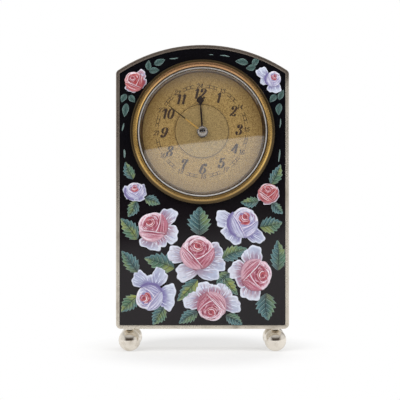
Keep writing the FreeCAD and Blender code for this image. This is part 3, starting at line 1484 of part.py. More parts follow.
def aimed(body, turn, front):
    """Turn a hand clockwise from twelve and set it on the dial's centre."""
    body.Placement = Placement(Vector(), Rotation(Vector(0, 1, 0), turn.value))
    body.setExpression("Placement.Rotation.Angle", text_of(turn))
    put(body, 0, deep(front), centre[1])


for make in (case_band, front_frame, plaque, bezel, dial, drum, mainplate, bridges, jewels, train, barrel,
             winding, motion_work, escapement, hands, door, feet):
    make()
doc.recompute()

faults = [item.Label for item in doc.Objects if {"Invalid", "Error"} & set(item.State)]
faults += [item.Label for item in nodes if item.Shape.isNull() or not item.Shape.isValid()]
if faults:
    raise SystemExit(f"failed pieces: {faults}")
os.makedirs("parts", exist_ok=True)
for item in nodes:
    item.Shape.exportStep(f"parts/{item.Label}.step")
print(len(nodes), "pieces")
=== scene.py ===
"""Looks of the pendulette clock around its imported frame.

The case, movement, dial and glass are the frame's own solids with better finishes. What is painted or
printed on them, the roses and leaves of the enamel front and the dial's numerals and track, is made here
as thin raised layers. Drawn places are given in points, with x to the right and y down, and one point is
POINT metres on the clock's front.
"""
import json
import math
from types import SimpleNamespace

import bpy
import numpy as np
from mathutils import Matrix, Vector


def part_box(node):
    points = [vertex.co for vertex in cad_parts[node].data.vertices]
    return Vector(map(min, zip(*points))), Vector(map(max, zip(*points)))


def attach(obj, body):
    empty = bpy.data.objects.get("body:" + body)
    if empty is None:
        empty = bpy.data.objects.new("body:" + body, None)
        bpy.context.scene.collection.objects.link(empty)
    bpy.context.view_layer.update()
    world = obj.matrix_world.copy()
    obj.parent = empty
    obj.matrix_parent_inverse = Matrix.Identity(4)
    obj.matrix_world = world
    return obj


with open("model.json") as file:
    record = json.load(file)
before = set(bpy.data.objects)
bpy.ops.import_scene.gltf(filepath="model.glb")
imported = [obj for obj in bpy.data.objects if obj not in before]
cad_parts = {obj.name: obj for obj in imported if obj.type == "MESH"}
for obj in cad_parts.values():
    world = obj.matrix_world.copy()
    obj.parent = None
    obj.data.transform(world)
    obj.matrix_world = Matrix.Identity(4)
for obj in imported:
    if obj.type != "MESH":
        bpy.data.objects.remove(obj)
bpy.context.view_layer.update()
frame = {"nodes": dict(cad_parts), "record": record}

POINT = 0.00024366
CENTRE = (202.5, 132.0)
MIDDLE_HIGH = 0.05375
RIM_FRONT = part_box("front_frame")[0][1]
ENAMEL_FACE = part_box("enamel_plaque")[0][1]
DIAL_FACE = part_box("dial")[0][1]
MM = 0.001
rng = np.random.default_rng(7)


# Camera, placed where the photograph's perspective puts it

CAMERA_AWAY = 0.26
PICTURE_WIDE = 400
SENSOR = 36.0
camera = bpy.data.cameras.new("camera")
camera.sensor_width = SENSOR
camera.lens = SENSOR * CAMERA_AWAY / (PICTURE_WIDE * POINT)
camera.clip_start = 0.01
camera_object = bpy.data.objects.new("camera", camera)
camera_object.location = ((PICTURE_WIDE / 2 - CENTRE[0]) * POINT, RIM_FRONT - CAMERA_AWAY,
                          MIDDLE_HIGH - (PICTURE_WIDE / 2 - CENTRE[1]) * POINT)
camera_object.rotation_euler = (math.radians(90), 0, 0)
bpy.context.collection.objects.link(camera_object)
bpy.context.scene.camera = camera_object


# Colours are written as they look on a screen, 0 to 255, and turned to linear light

def tone(red, green, blue):
    share = np.array([red, green, blue], dtype=float) / 255
    return np.where(share <= 0.04045, share / 12.92, ((share + 0.055) / 1.055) ** 2.4)


def step(low, high, value):
    """0 below low, 1 above high, and smooth between."""
    share = np.clip((np.asarray(value, dtype=float) - low) / (high - low), 0, 1)
    return share * share * (3 - 2 * share)


def mixed(first, second, share):
    share = np.asarray(share, dtype=float)[..., None]
    return np.asarray(first) * (1 - share) + np.asarray(second) * share


def coated(colour, *coats):
    """A colour with others laid over it in turn; each coat is a colour and its share."""
    for coat, share in coats:
        colour = mixed(colour, coat, share)
    return colour


# Curves on the flat

def smooth(points, steps=6, closed=False):
    """A Catmull-Rom curve through points."""
    points = np.asarray(points, dtype=float)
    before, after = points[-1:], points[:2]
    if not closed:
        before, after = 2 * points[:1] - points[1:2], 2 * points[-1:] - points[-2:-1]
    row = np.vstack([before, points, after])
    out = []
    for index in range(len(row) - 3):
        a, b, c, d = row[index:index + 4]
        for share in np.arange(steps) / steps:
            out.append(0.5 * (2 * b + (c - a) * share + (2 * a - 5 * b + 4 * c - d) * share ** 2
                              + (3 * b - a - 3 * c + d) * share ** 3))
    if not closed:
        out.append(points[-1])
    return np.array(out)


def heading(degrees):
    """A unit step on the flat; 0 is right and 90 is up."""
    angle = math.radians(degrees)
    return np.array([math.cos(angle), -math.sin(angle)])


class Layers:
    """Coloured layers laid on a flat face of the clock, gathered into one mesh."""

    def __init__(self, face):
        self.face = face
        self.points, self.faces, self.colours = [], [], []
        self.count = 0

    def add(self, flat, high, faces, colours):
        """flat is in points, high in millimetres above the face."""
        across = (flat[:, 0] - CENTRE[0]) * POINT
        up = MIDDLE_HIGH - (flat[:, 1] - CENTRE[1]) * POINT
        self.points.append(np.stack([across, self.face - np.asarray(high) * MM, up], axis=1))
        self.faces.extend([tuple(corner + self.count for corner in face) for face in faces])
        self.colours.append(np.asarray(colours, dtype=float))
        self.count += len(flat)

    def sheet(self, outline, middle, high, paint, rings=6, dome=0.35):
        """A closed patch with a raised middle and a rim that comes down to the face."""
        outline = np.asarray(outline, dtype=float)
        middle = np.asarray(middle, dtype=float)
        nexts = np.roll(outline, -1, axis=0)
        if np.sum(outline[:, 0] * nexts[:, 1] - nexts[:, 0] * outline[:, 1]) > 0:
            outline = outline[::-1]
        count = len(outline)
        shares = np.append(np.arange(1, rings + 1) / rings, 1.0)
        flat = np.vstack([middle] + [middle + (outline - middle) * share for share in shares])
        share_of = np.append(0.0, np.repeat(shares, count))
        up = high * (1 - dome * share_of ** 2)
        up[-count:] = 0.0
        faces = [(0, 1 + index, 1 + (index + 1) % count) for index in range(count)]
        for ring in range(len(shares) - 1):
            low, top = 1 + ring * count, 1 + (ring + 1) * count
            for index in range(count):
                after = (index + 1) % count
                faces.append((low + index, top + index, top + after, low + after))
        self.add(flat, up, faces, paint(flat, share_of))

    def stroke(self, path, wide, colour, high, taper=True, steps=5):
        """A brush or pen line along a smooth path; wide is one width or one for each point of the path."""
        path = np.asarray(path, dtype=float)
        curve = smooth(path, steps) if len(path) > 2 else path
        way = np.gradient(curve, axis=0)
        way /= np.maximum(np.linalg.norm(way, axis=1, keepdims=True), 1e-9)
        side = np.stack([way[:, 1], -way[:, 0]], axis=1)
        share = np.linspace(0, 1, len(curve))
        wide = np.atleast_1d(wide)
        widths = np.interp(share, np.linspace(0, 1, len(wide)), wide)
        if taper:
            widths = widths * np.clip(np.sin(np.pi * (0.06 + 0.88 * share)) * 1.25, 0, 1)
        half = side * widths[:, None] / 2
        count = len(curve)
        flat = np.vstack([curve + half, curve, curve - half])
        up = np.repeat([high * 0.8, high, high * 0.8], count)
        faces = [(row + index, row + index + 1, row + count + index + 1, row + count + index)
                 for index in range(count - 1) for row in (0, count)]
        self.add(flat, up, faces, np.tile(colour, (len(flat), 1)))

    def piece(self, name, body, slot, material):
        mesh = bpy.data.meshes.new(name)
        mesh.from_pydata(np.vstack(self.points).tolist(), [], self.faces)
        colours = np.clip(np.vstack(self.colours), 0, 1)
        paint = mesh.color_attributes.new("paint", "FLOAT_COLOR", "POINT")
        paint.data.foreach_set("color", np.column_stack([colours, np.ones(len(colours))]).ravel())
        mesh.polygons.foreach_set("use_smooth", [True] * len(mesh.polygons))
        mesh.update()
        piece = bpy.data.objects.new(name, mesh)
        bpy.context.collection.objects.link(piece)
        mesh.materials.append(material)
        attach(piece, body)


# Materials

class Nodes:
    """Short words for building a node tree."""

    def __init__(self, tree):
        self.tree = tree

    def node(self, kind, inputs=None, **settings):
        """The outputs of a new node; kind is its type without the word ShaderNode."""
        made = self.tree.nodes.new("ShaderNode" + kind)
        for word, value in settings.items():
            setattr(made, word, value)
        for word, value in (inputs or {}).items():
            self.feed(value, made.inputs[word])
        return made.outputs

    def feed(self, value, socket):
        if isinstance(value, bpy.types.NodeSocket):
            self.tree.links.new(value, socket)
        else:
            socket.default_value = value

    def math(self, operation, *values):
        return self.node("Math", dict(enumerate(values)), operation=operation)[0]

    def place(self, scale=(1, 1, 1), turn=(0, 0, 0)):
        spot = self.node("TexCoord")["Object"]
        return self.node("Mapping", {"Vector": spot, "Scale": scale, "Rotation": turn})[0]

    def noise(self, scale, where=None, detail=3.0, rough=0.5):
        inputs = {"Vector": where or self.place(), "Scale": scale, "Detail": detail, "Roughness": rough}
        return self.node("TexNoise", inputs)["Fac"]

    def from_axis(self):
        """Distance from the dial's axis."""
        flat = self.node("VectorMath", {0: self.place(), 1: (1, 0, 1)}, operation="MULTIPLY")[0]
        middle = {0: flat, 1: (0, 0, MIDDLE_HIGH)}
        return self.node("VectorMath", middle, operation="DISTANCE")["Value"]

    def along(self, axis):
        return self.node("SeparateXYZ", {0: self.place()})[axis]

    def between(self, value, low, high, first=0.0, last=1.0):
        """first at low, last at high, and smooth between."""
        inputs = {"Value": value, "From Min": low, "From Max": high, "To Min": first, "To Max": last}
        return self.node("MapRange", inputs, interpolation_type="SMOOTHSTEP")[0]

    def rise(self, value, low, high, most=1.0):
        return self.between(value, low, high, 0.0, most)

    def mix(self, share, first, second, blend="MIX"):
        """first and second are sockets, or colours of 0 to 255."""
        inputs = {0: share, 6: linear(first), 7: linear(second)}
        return self.node("Mix", inputs, data_type="RGBA", blend_type=blend)[2]

    def edges(self, reach):
        """1 on sharp outer edges, where handling wears a surface first."""
        soft = self.node("Bevel", {"Radius": reach}, samples=4)[0]
        flat = self.node("NewGeometry")["Normal"]
        same = self.node("VectorMath", {0: soft, 1: flat}, operation="DOT_PRODUCT")["Value"]
        return self.rise(same, 0.99, 0.86)


class Finish(Nodes):
    """A new material, built round its principled shader."""

    def __init__(self, name):
        self.material = bpy.data.materials.new(name)
        self.material.use_nodes = True
        super().__init__(self.material.node_tree)
        self.shader = self.tree.nodes["Principled BSDF"]

    def set(self, **inputs):
        for word, value in inputs.items():
            self.feed(value, self.shader.inputs[word.replace("_", " ")])

    def bump(self, height, strength, distance):
        inputs = {"Height": height, "Strength": strength, "Distance": distance}
        self.set(Normal=self.node("Bump", inputs)[0])

    def overlay(self, share, other):
        """Another shader in place of the principled one, as far as share says."""
        both = self.node("MixShader", {0: share, 1: self.shader.outputs[0], 2: other})[0]
        self.feed(both, self.tree.nodes["Material Output"].inputs["Surface"])


def linear(value):
    """A socket as it is, or a colour of 0 to 255 as a linear one for a socket."""
    if isinstance(value, bpy.types.NodeSocket):
        return value
    return (*[float(part) for part in tone(*value)], 1.0)


def finish(build):
    """Turns a function of a material's nodes into the material, under the function's name."""
    n = Finish(build.__name__)
    build(n)
    return n.material


# Where a finish changes, in metres: radii from the dial's axis, heights, and places across

BEZEL_SHADED_SHOULDER = (0.01668, 0.01705)
BEZEL_SHADED_LIP = (0.01604, 0.01588)
BEZEL_COPPER_HIGH = (0.056, 0.071)
BEZEL_LOW = (0.047, 0.038)
RING_HIGHLIGHT = 0.01552
RING_HIGHLIGHT_EDGE = (0.0002, 0.0001)
DIAL_INNER = (0.0066, 0.0064)
DIAL_OUTER = (0.0105, 0.0152)
CAP_HOLLOW = (0.00088, 0.0007)
HAND_BOSS = (0.00085, 0.00075)
RIM_ARCH_SHADE = (0.064, 0.0685)
RIM_LEFT_SHADE = (-0.0185, -0.0205)
RIM_LEFT_SHADE_HIGH = (0.016, 0.056)
ENAMEL_REFLECTION_LOW = (0.06, 0.015)
SCRATCHES = ((900.0, (1, 1, 14), (0.3, 0.9, 0.2)), (700.0, (12, 1, 1), (0.1, 0.5, 1.1)))


def metal(name, base, stained, rough, stain_size=60.0, stain_from=0.45, grain=None, grain_deep=0.0,
          wear=0.0, worn=None, scratch=0.0, painted_shade=None, left_shade=0.0, metallic=1.0):
    """A metal with tarnish in patches, finer specks and brighter worn edges.

    painted_shade is the colour of painted shade on the arch of the rim and, as far as left_shade says, on its
    left side.
    """
    n = Finish(name)
    cloud = n.noise(stain_size, detail=6.0, rough=0.62)
    fine = n.noise(stain_size * 22, detail=2.0)
    colour = n.mix(n.rise(cloud, stain_from, stain_from + 0.3), base, stained)
    colour = n.mix(n.rise(fine, 0.6, 0.74, 0.25), colour, stained)
    if painted_shade:
        # Painted shade: darkens the arch of the rim and its upper left side.
        down = n.rise(n.along("Z"), *RIM_LEFT_SHADE_HIGH, left_shade)
        left = n.math("MULTIPLY", n.rise(n.along("X"), *RIM_LEFT_SHADE), down)
        shade_share = n.math("MAXIMUM", n.rise(n.along("Z"), *RIM_ARCH_SHADE, 0.9), left)
        colour = n.mix(shade_share, colour, painted_shade)
    if wear:
        colour = n.mix(n.math("MULTIPLY", n.edges(wear), 0.6), colour, worn or base)
    roughness = n.math("ADD", n.between(cloud, 0.3, 0.75, rough * 0.75, rough * 1.5),
                       n.rise(fine, 0.35, 0.75, rough * 0.4))
    n.set(Base_Color=colour, Metallic=metallic, Roughness=roughness)
    if grain:
        lines = n.noise(grain[0], n.place(grain[1]), detail=2.0)
        n.bump(lines, 0.6, grain_deep)
    elif scratch:
        lines, other = [n.noise(size, n.place(scale, turn), detail=1.0) for size, scale, turn in SCRATCHES]
        n.bump(n.math("ADD", n.rise(lines, 0.68, 0.75), n.rise(other, 0.7, 0.76)), 0.35, scratch)
    return n.material


@finish
def gilt_finish(n):
    """Old gilding: bright on the band, coppery at the top, with painted shade on its outer shoulder and inner
    lip.
    """
    out = n.from_axis()
    cloud = n.noise(190.0, detail=5.0, rough=0.6)
    fine = n.noise(2300.0, detail=2.0)
    gold = n.mix(n.rise(n.along("Z"), *BEZEL_COPPER_HIGH), (236, 194, 116), (190, 146, 108))
    gold = n.mix(n.rise(n.along("Z"), *BEZEL_LOW, 0.8), gold, (152, 124, 82))
    gold = n.mix(n.rise(cloud, 0.5, 0.74, 0.6), gold, (150, 114, 62))
    # Painted shade on the outer shoulder and along the inner lip.
    shoulder_shade = n.mix(cloud, (52, 42, 28), (104, 86, 56))
    colour = n.mix(n.rise(out, *BEZEL_SHADED_SHOULDER), gold, shoulder_shade)
    colour = n.mix(n.rise(out, *BEZEL_SHADED_LIP), colour, (78, 62, 42))
    colour = n.mix(n.rise(fine, 0.62, 0.76, 0.35), colour, (90, 70, 42))
    n.set(Base_Color=colour, Metallic=0.88, Roughness=n.between(cloud, 0.3, 0.75, 0.18, 0.34))
    n.bump(fine, 0.15, 0.00002)


@finish
def ring_finish(n):
    """The thin ring that holds the glass: painted highlight on one turned line, painted shade on the slopes
    beside it.
    """
    # Painted highlight along the line, painted shade on either side of it.
    off = n.math("ABSOLUTE", n.math("SUBTRACT", n.from_axis(), RING_HIGHLIGHT))
    patch = n.noise(420.0, detail=4.0)
    bright = n.mix(n.rise(patch, 0.45, 0.75), (244, 242, 240), (196, 190, 184))
    colour = n.mix(n.rise(off, *RING_HIGHLIGHT_EDGE), (96, 84, 68), bright)
    n.set(Base_Color=colour, Metallic=0.66, Roughness=n.between(patch, 0.3, 0.7, 0.14, 0.24))


@finish
def enamel_finish(n):
    """Deep glossy black with fine unevenness in the glaze; lighter and browner low down, a painted
    reflection.
    """
    cloud = n.noise(70.0, detail=4.0)
    # Painted reflection: lighter and browner towards the bottom.
    low = n.mix(n.rise(n.along("Z"), *ENAMEL_REFLECTION_LOW), (6, 7, 13), (20, 14, 18))
    n.set(Base_Color=n.mix(n.rise(cloud, 0.4, 0.7, 0.5), low, (12, 10, 12)),
          Roughness=n.between(cloud, 0.3, 0.8, 0.05, 0.14), Specular_IOR_Level=0.3)
    n.bump(n.noise(260.0, detail=2.0), 0.05, 0.00002)


@finish
def painted_enamel(n):
    """Fired enamel colours, stippled, under a thin clear flux."""
    paint = n.node("VertexColor", layer_name="paint")["Color"]
    stipple = n.noise(4200.0, detail=2.0)
    brush = n.noise(1500.0, detail=3.0)
    colour = n.mix(n.rise(brush, 0.35, 0.7, 0.3), paint, (196, 188, 206), "MULTIPLY")
    colour = n.mix(n.rise(stipple, 0.3, 0.7, 0.25), colour, (214, 208, 220), "MULTIPLY")
    colour = n.mix(n.rise(stipple, 0.56, 0.8, 0.2), colour, (236, 232, 242))
    n.set(Base_Color=colour, Roughness=0.36, Coat_Weight=0.15, Coat_Roughness=0.1)
    n.bump(n.noise(2600.0, detail=3.0), 0.25, 0.00003)


@finish
def dial_finish(n):
    """Matt gilt dial with fired grain, greyer inside its inner circle and browner towards its edge."""
    out = n.from_axis()
    grain = n.noise(5200.0, detail=3.0, rough=0.7)
    cloud = n.noise(150.0, detail=5.0)
    colour = n.mix(n.rise(grain, 0.36, 0.64), (136, 108, 60), (214, 182, 116))
    colour = n.mix(n.rise(cloud, 0.45, 0.75, 0.5), colour, (168, 134, 72))
    colour = n.mix(n.rise(out, *DIAL_INNER, 0.3), colour, (166, 152, 116))
    colour = n.mix(n.rise(out, *DIAL_OUTER, 0.5), colour, (142, 110, 58))
    n.set(Base_Color=colour, Metallic=0.5, Roughness=n.between(grain, 0.3, 0.7, 0.5, 0.75))
    n.bump(grain, 0.4, 0.00003)


@finish
def glass_finish(n):
    """Clear domed glass, which lets the lamps' light through to the dial."""
    n.set(Base_Color=(1, 1, 1, 1), Roughness=0.0, IOR=1.72, Transmission_Weight=1.0)
    path = n.node("LightPath")
    clear = n.node("BsdfTransparent")[0]
    n.overlay(n.math("MAXIMUM", path["Is Shadow Ray"], path["Is Diffuse Ray"]), clear)


@finish
def plate_finish(n):
    """Frosted gilding with fine broad stripes, as on a good movement's bridges."""
    inputs = {"Vector": n.place(turn=(0, 0.6, 0)), "Scale": 320.0, "Distortion": 0.4, "Detail": 1.0}
    wave = n.node("TexWave", inputs)["Fac"]
    grain = n.noise(4200.0, detail=2.0)
    colour = n.mix(n.rise(wave, 0.2, 0.8), (196, 164, 92), (222, 192, 122))
    colour = n.mix(n.rise(grain, 0.4, 0.75, 0.4), colour, (170, 138, 72))
    n.set(Base_Color=colour, Metallic=1.0, Roughness=n.between(grain, 0.3, 0.7, 0.28, 0.42))
    n.bump(wave, 0.25, 0.00002)


@finish
def ruby_finish(n):
    n.set(Base_Color=n.mix(n.noise(900.0), (150, 8, 40), (200, 24, 60)), Roughness=0.06,
          Coat_Weight=0.8)


def hand_finish(name, long_gilt):
    """Dark blued steel; the inner part of the minute hand has lost its blue and shows gilt."""
    n = Finish(name)
    patch = n.noise(700.0, detail=4.0)
    colour = n.mix(n.rise(patch, 0.4, 0.7), (30, 24, 28), (50, 40, 40))
    if long_gilt:
        colour = n.mix(n.rise(n.from_axis(), long_gilt + 0.0002, long_gilt - 0.0002), colour, (222, 178, 88))
        colour = n.mix(n.rise(n.from_axis(), *HAND_BOSS), colour, (44, 38, 40))
    n.set(Base_Color=colour, Metallic=0.6, Roughness=n.between(n.from_axis(), 0.0008, 0.0007, 0.32, 0.6))
    return n.material


def cap_finish(name, rim):
    """A turned end at the dial's middle: a bright rim round a dark hollow."""
    n = Finish(name)
    patch = n.noise(900.0, detail=3.0)
    colour = n.mix(n.rise(n.from_axis(), *CAP_HOLLOW), rim, (46, 40, 40))
    colour = n.mix(n.rise(patch, 0.5, 0.8, 0.4), colour, (120, 108, 96))
    n.set(Base_Color=colour, Metallic=0.9, Roughness=n.between(n.from_axis(), *CAP_HOLLOW, 0.22, 0.55))
    return n.material


finishes = {
    "silver": metal("silver_finish", (222, 217, 208), (176, 166, 150), 0.15, 130.0, 0.48, wear=0.00018,
                    worn=(242, 238, 230), scratch=0.000006),
    "enamel": enamel_finish,
    "gilt": gilt_finish,
    "bright_ring": ring_finish,
    "crystal_glass": glass_finish,
    "dial_gilt": dial_finish,
    "dial_edge": metal("dial_edge_finish", (136, 112, 78), (84, 68, 48), 0.34, 110.0),
    "plate_brass": plate_finish,
    "wheel_brass": metal("wheel_finish", (222, 184, 100), (176, 136, 62), 0.22, 160.0,
                         grain=(2200.0, (1, 1, 1)), grain_deep=0.000006),
    "steel": metal("steel_finish", (206, 206, 208), (150, 148, 146), 0.2, 200.0,
                   grain=(2600.0, (1, 0.1, 1)), grain_deep=0.000004),
    "blued_steel": metal("blued_finish", (44, 50, 92), (28, 26, 44), 0.2, 220.0),
    "spring_steel": metal("spring_finish", (96, 108, 142), (70, 74, 92), 0.24, 260.0),
    "ruby": ruby_finish,
}
slot_of = {part["node"]: part["material_slot"] for part in frame["record"]["subparts"]}
own_finish = {"hour_hand": hand_finish("hour_hand_finish", 0),
              "minute_hand": hand_finish("minute_hand_finish", 0.0053),
              "hand_cap": cap_finish("cap_finish", (156, 150, 144)),
              "centre_arbor": cap_finish("arbor_end_finish", (206, 206, 208)),
              "cannon_pinion": cap_finish("cannon_finish", (206, 206, 208)),
              # The rim's finish carries painted shade on its arch and upper left side.
              "front_frame": metal("rim_finish", (214, 206, 192), (140, 126, 108), 0.26, 110.0, 0.5,
                                   wear=0.00012, worn=(226, 220, 208), painted_shade=(112, 100, 92), left_shade=0.85,
                                   metallic=0.78)}
frosted = metal("brass_plate_finish", (206, 170, 98), (150, 116, 62), 0.3, 80.0, 0.5,
                grain=(1500.0, (1, 1, 9)), grain_deep=0.000006, wear=0.00012, worn=(232, 200, 130))
own_finish.update({name: frosted for name in ("plaque_backing", "movement_drum", "catch_spring")})
ball = metal("ball_finish", (232, 225, 214), (176, 162, 142), 0.09, 260.0, 0.52, scratch=0.000003)
own_finish.update({name: ball for name in frame["nodes"] if name.startswith("foot_") and name != "foot_nuts"})
for name, node in frame["nodes"].items():
    chosen = own_finish.get(name, finishes[slot_of[name]])
    if not node.material_slots:
        node.data.materials.append(chosen)
    for place in node.material_slots:
        place.material = chosen


# Roses and leaves of the enamel front

def palette(*colours):
    words = ("deep", "mid", "pale", "petal", "shade", "heart")
    return SimpleNamespace(**{word: tone(*colour) for word, colour in zip(words, colours)})


PALETTES = {
    "pink": palette((132, 30, 52), (184, 98, 120), (224, 194, 206), (208, 217, 230), (172, 124, 150),
                    (140, 26, 46)),
    "lilac": palette((122, 110, 168), (178, 180, 208), (210, 216, 230), (200, 208, 226), (122, 116, 172),
                     (160, 42, 42)),
    "red": palette((136, 24, 34), (178, 58, 62), (208, 142, 144), (198, 182, 196), (168, 84, 102),
                   (128, 18, 32)),
}
WARM = palette((148, 32, 48), (190, 88, 96), (216, 180, 186))
CREASE = tone(240, 232, 240)
RIM = tone(226, 232, 244)
COOL, COOL_LINE = tone(150, 158, 190), tone(160, 166, 200)
SHADOW = tone(84, 80, 118)
PETAL_FULL = (0.92, 0.98)
BRUSH_STROKES = 16
CREASE_ROWS = 11
HEART_ARCS = 34
RING_LEVELS = 6
PETAL_HIGH, BRUSH_HIGH, PETAL_STEP = 0.05, 0.072, 0.006
HEART_ACROSS, HEART_ALONG = 0.03, 0.42
TURNED_EDGE = [(-0.88, 0.36), (-0.46, 0.04), (-0.06, -0.4), (0.36, -0.86)]


class Rose:
    """A rose's own frame: the middle of its cup, its radii across and along, and the way it faces."""

    def __init__(self, globe, size, turn, kind):
        self.layers = Layers(ENAMEL_FACE)
        self.colours = PALETTES[kind]
        self.kind = kind
        self.globe = np.asarray(globe, dtype=float)
        self.up, self.right = heading(turn), heading(turn - 90)
        self.broad, self.tall = size

    def at(self, across, along):
        return self.globe + self.right * across * self.broad + self.up * along * self.tall

    def inside(self, flat):
        away = flat - self.globe
        return away @ self.right / self.broad, away @ self.up / self.tall

    def places(self, path):
        return [self.at(*place) for place in path]

    def stroke(self, path, wide, colour, high):
        self.layers.stroke(self.places(path), wide, colour, high)


def lobe(middle, long, wide, turn, count=60):
    """The outline of a petal: an egg with its broad end towards turn, and a wavy, notched rim."""
    ahead, side = heading(turn), heading(turn + 90)
    angle = np.arange(count) * 2 * np.pi / count
    first, second = rng.uniform(0, 2 * np.pi, 2)
    front = np.clip(np.cos(angle) + 0.45, 0, 1)
    out = 1 + front * (0.12 * np.sin(angle * 3 + first) + 0.055 * np.sin(angle * 8 + second))
    along = np.cos(angle) * long / 2 * out
    across = np.sin(angle) * wide / 2 * out * (1 + 0.2 * np.cos(angle))
    return np.asarray(middle) + along[:, None] * ahead + across[:, None] * side


def open_petal(rose, index, petal):
    """An outer petal: shaded at its base and beside the cup, veined, and pale along its rim."""
    x, y, long, wide, way, deep = petal
    long, wide = long * PETAL_FULL[0], wide * PETAL_FULL[1]
    colours = rose.colours
    shade = mixed(colours.petal, colours.shade, 0.15 + 0.75 * deep)
    ahead, side = heading(way), heading(way + 90)
    base = np.array([x, y]) - ahead * long * 0.55
    spin, lean = rng.uniform(0, 6), rng.uniform(-0.5, 0.5)

    def paint(flat, share):
        away = flat - base
        along, across = away @ ahead / long, away @ side / long
        angle = np.arctan2(across, along + 0.25)
        veins = 0.5 + 0.5 * np.sin(angle * 30 + spin + 2.0 * np.sin(along * 8))
        blush = 0.5 + 0.5 * np.sin(angle * 2.6 + spin * 2)
        near = step(1.44, 1.0, np.hypot(*rose.inside(flat)) - 0.14 * veins)
        return coated(
            shade,
            (colours.petal, step(0.2, 0.8 + 0.2 * deep, along + 0.18 * veins + lean * across)),
            (colours.pale, 0.16 * blush),
            (COOL, 0.6 * step(0.5, 0.95, 1 - blush) * step(0.2, 0.6, along)),
            (SHADOW, 0.4 * (1 - veins) * (1 - step(0.25, 0.9, along))),
            (mixed(colours.shade, colours.deep, 0.45 * near), near * min(0.35 + 1.1 * deep, 0.9)),
            (SHADOW, 0.5 * near * max(0.6 - deep, 0.0)),
            (RIM, 0.9 * step(0.82, 0.93, share) * step(0.15, 0.5, along)))

    rose.layers.sheet(lobe((x, y), long, wide, way), (x, y), PETAL_HIGH + PETAL_STEP * index, paint, rings=9)
    tints = [mixed(colours.petal, RIM, 0.9), mixed(colours.petal, shade, 0.8), COOL_LINE,
             mixed(shade, colours.deep, 0.3), RIM, mixed(colours.petal, SHADOW, 0.35)]
    for count in range(BRUSH_STROKES):
        bend = rng.uniform(-0.4, 0.4)
        near, far = rng.uniform(0.25, 0.7), rng.uniform(0.2, 0.4)
        aside = side * wide * bend
        start = base + ahead * long * near + aside * (0.45 + 0.55 * near)
        reach = min(near + far, 1.0 - 1.1 * bend ** 2)
        end = base + ahead * long * reach + aside * (0.5 + 0.55 * reach)
        middle = (start + end) / 2 + aside * 0.1
        rose.layers.stroke([start, middle, end], rng.uniform(0.35, 0.8), tints[count % len(tints)],
                           BRUSH_HIGH + PETAL_STEP * index)


def inner_petal(rose, colours, middle, reach, begin, span, high):
    """A short petal: part of a ring about middle, with a pale edge over a deep shadow."""
    bulge = rng.uniform(0.02, 0.08)

    def ring(part, degrees):
        swell = (1 + bulge * np.cos(np.radians(degrees - begin) * 3)) * reach * part
        return [rose.at(middle[0] + s * math.cos(a), middle[1] + s * math.sin(a))
                for s, a in zip(swell, np.radians(degrees))]

    def paint(flat, around):
        across, along = rose.inside(flat)
        across, along = across - middle[0], along - middle[1]
        out = np.hypot(across, along) / reach
        angle = np.degrees(np.arctan2(along, across)) - begin
        streak = 0.5 + 0.5 * np.sin(np.radians(angle) * 26)
        return coated(
            colours.deep,
            (colours.mid, step(0.56, 0.92, out + 0.14 * streak)),
            (colours.pale, step(0.8, 0.96, out + 0.08 * streak)),
            (colours.deep, 0.35 * (1 - streak) * (1 - step(0.7, 0.9, out))),
            (CREASE, 0.8 * step(0.93, 1.0, out)))

    outline = np.array(ring(1.0, np.linspace(begin - span, begin + span, 20))
                       + ring(0.34, np.linspace(begin + span * 0.8, begin - span * 0.8, 7)))
    rose.layers.sheet(outline, outline.mean(axis=0), high, paint, rings=5, dome=0.2)


def inner_petals(rose):
    """Rings of short petals that close in towards the heart, the last of them in warmer colours."""
    for level in range(RING_LEVELS):
        share = level / (RING_LEVELS - 1)
        colours = WARM if level >= (3 if rose.kind == "lilac" else 4) else rose.colours
        reach = 0.92 - 0.72 * share
        middle = (0.03 * math.sin(level * 2.4), 0.06 + 0.36 * share)
        petals = 4 if level < 3 else 3
        for index in range(petals):
            begin = level * 137.5 + index * 360 / petals + 20
            inner_petal(rose, colours, middle, reach, begin, 360 / petals * 0.6,
                        0.105 + 0.005 * level + 0.001 * index)


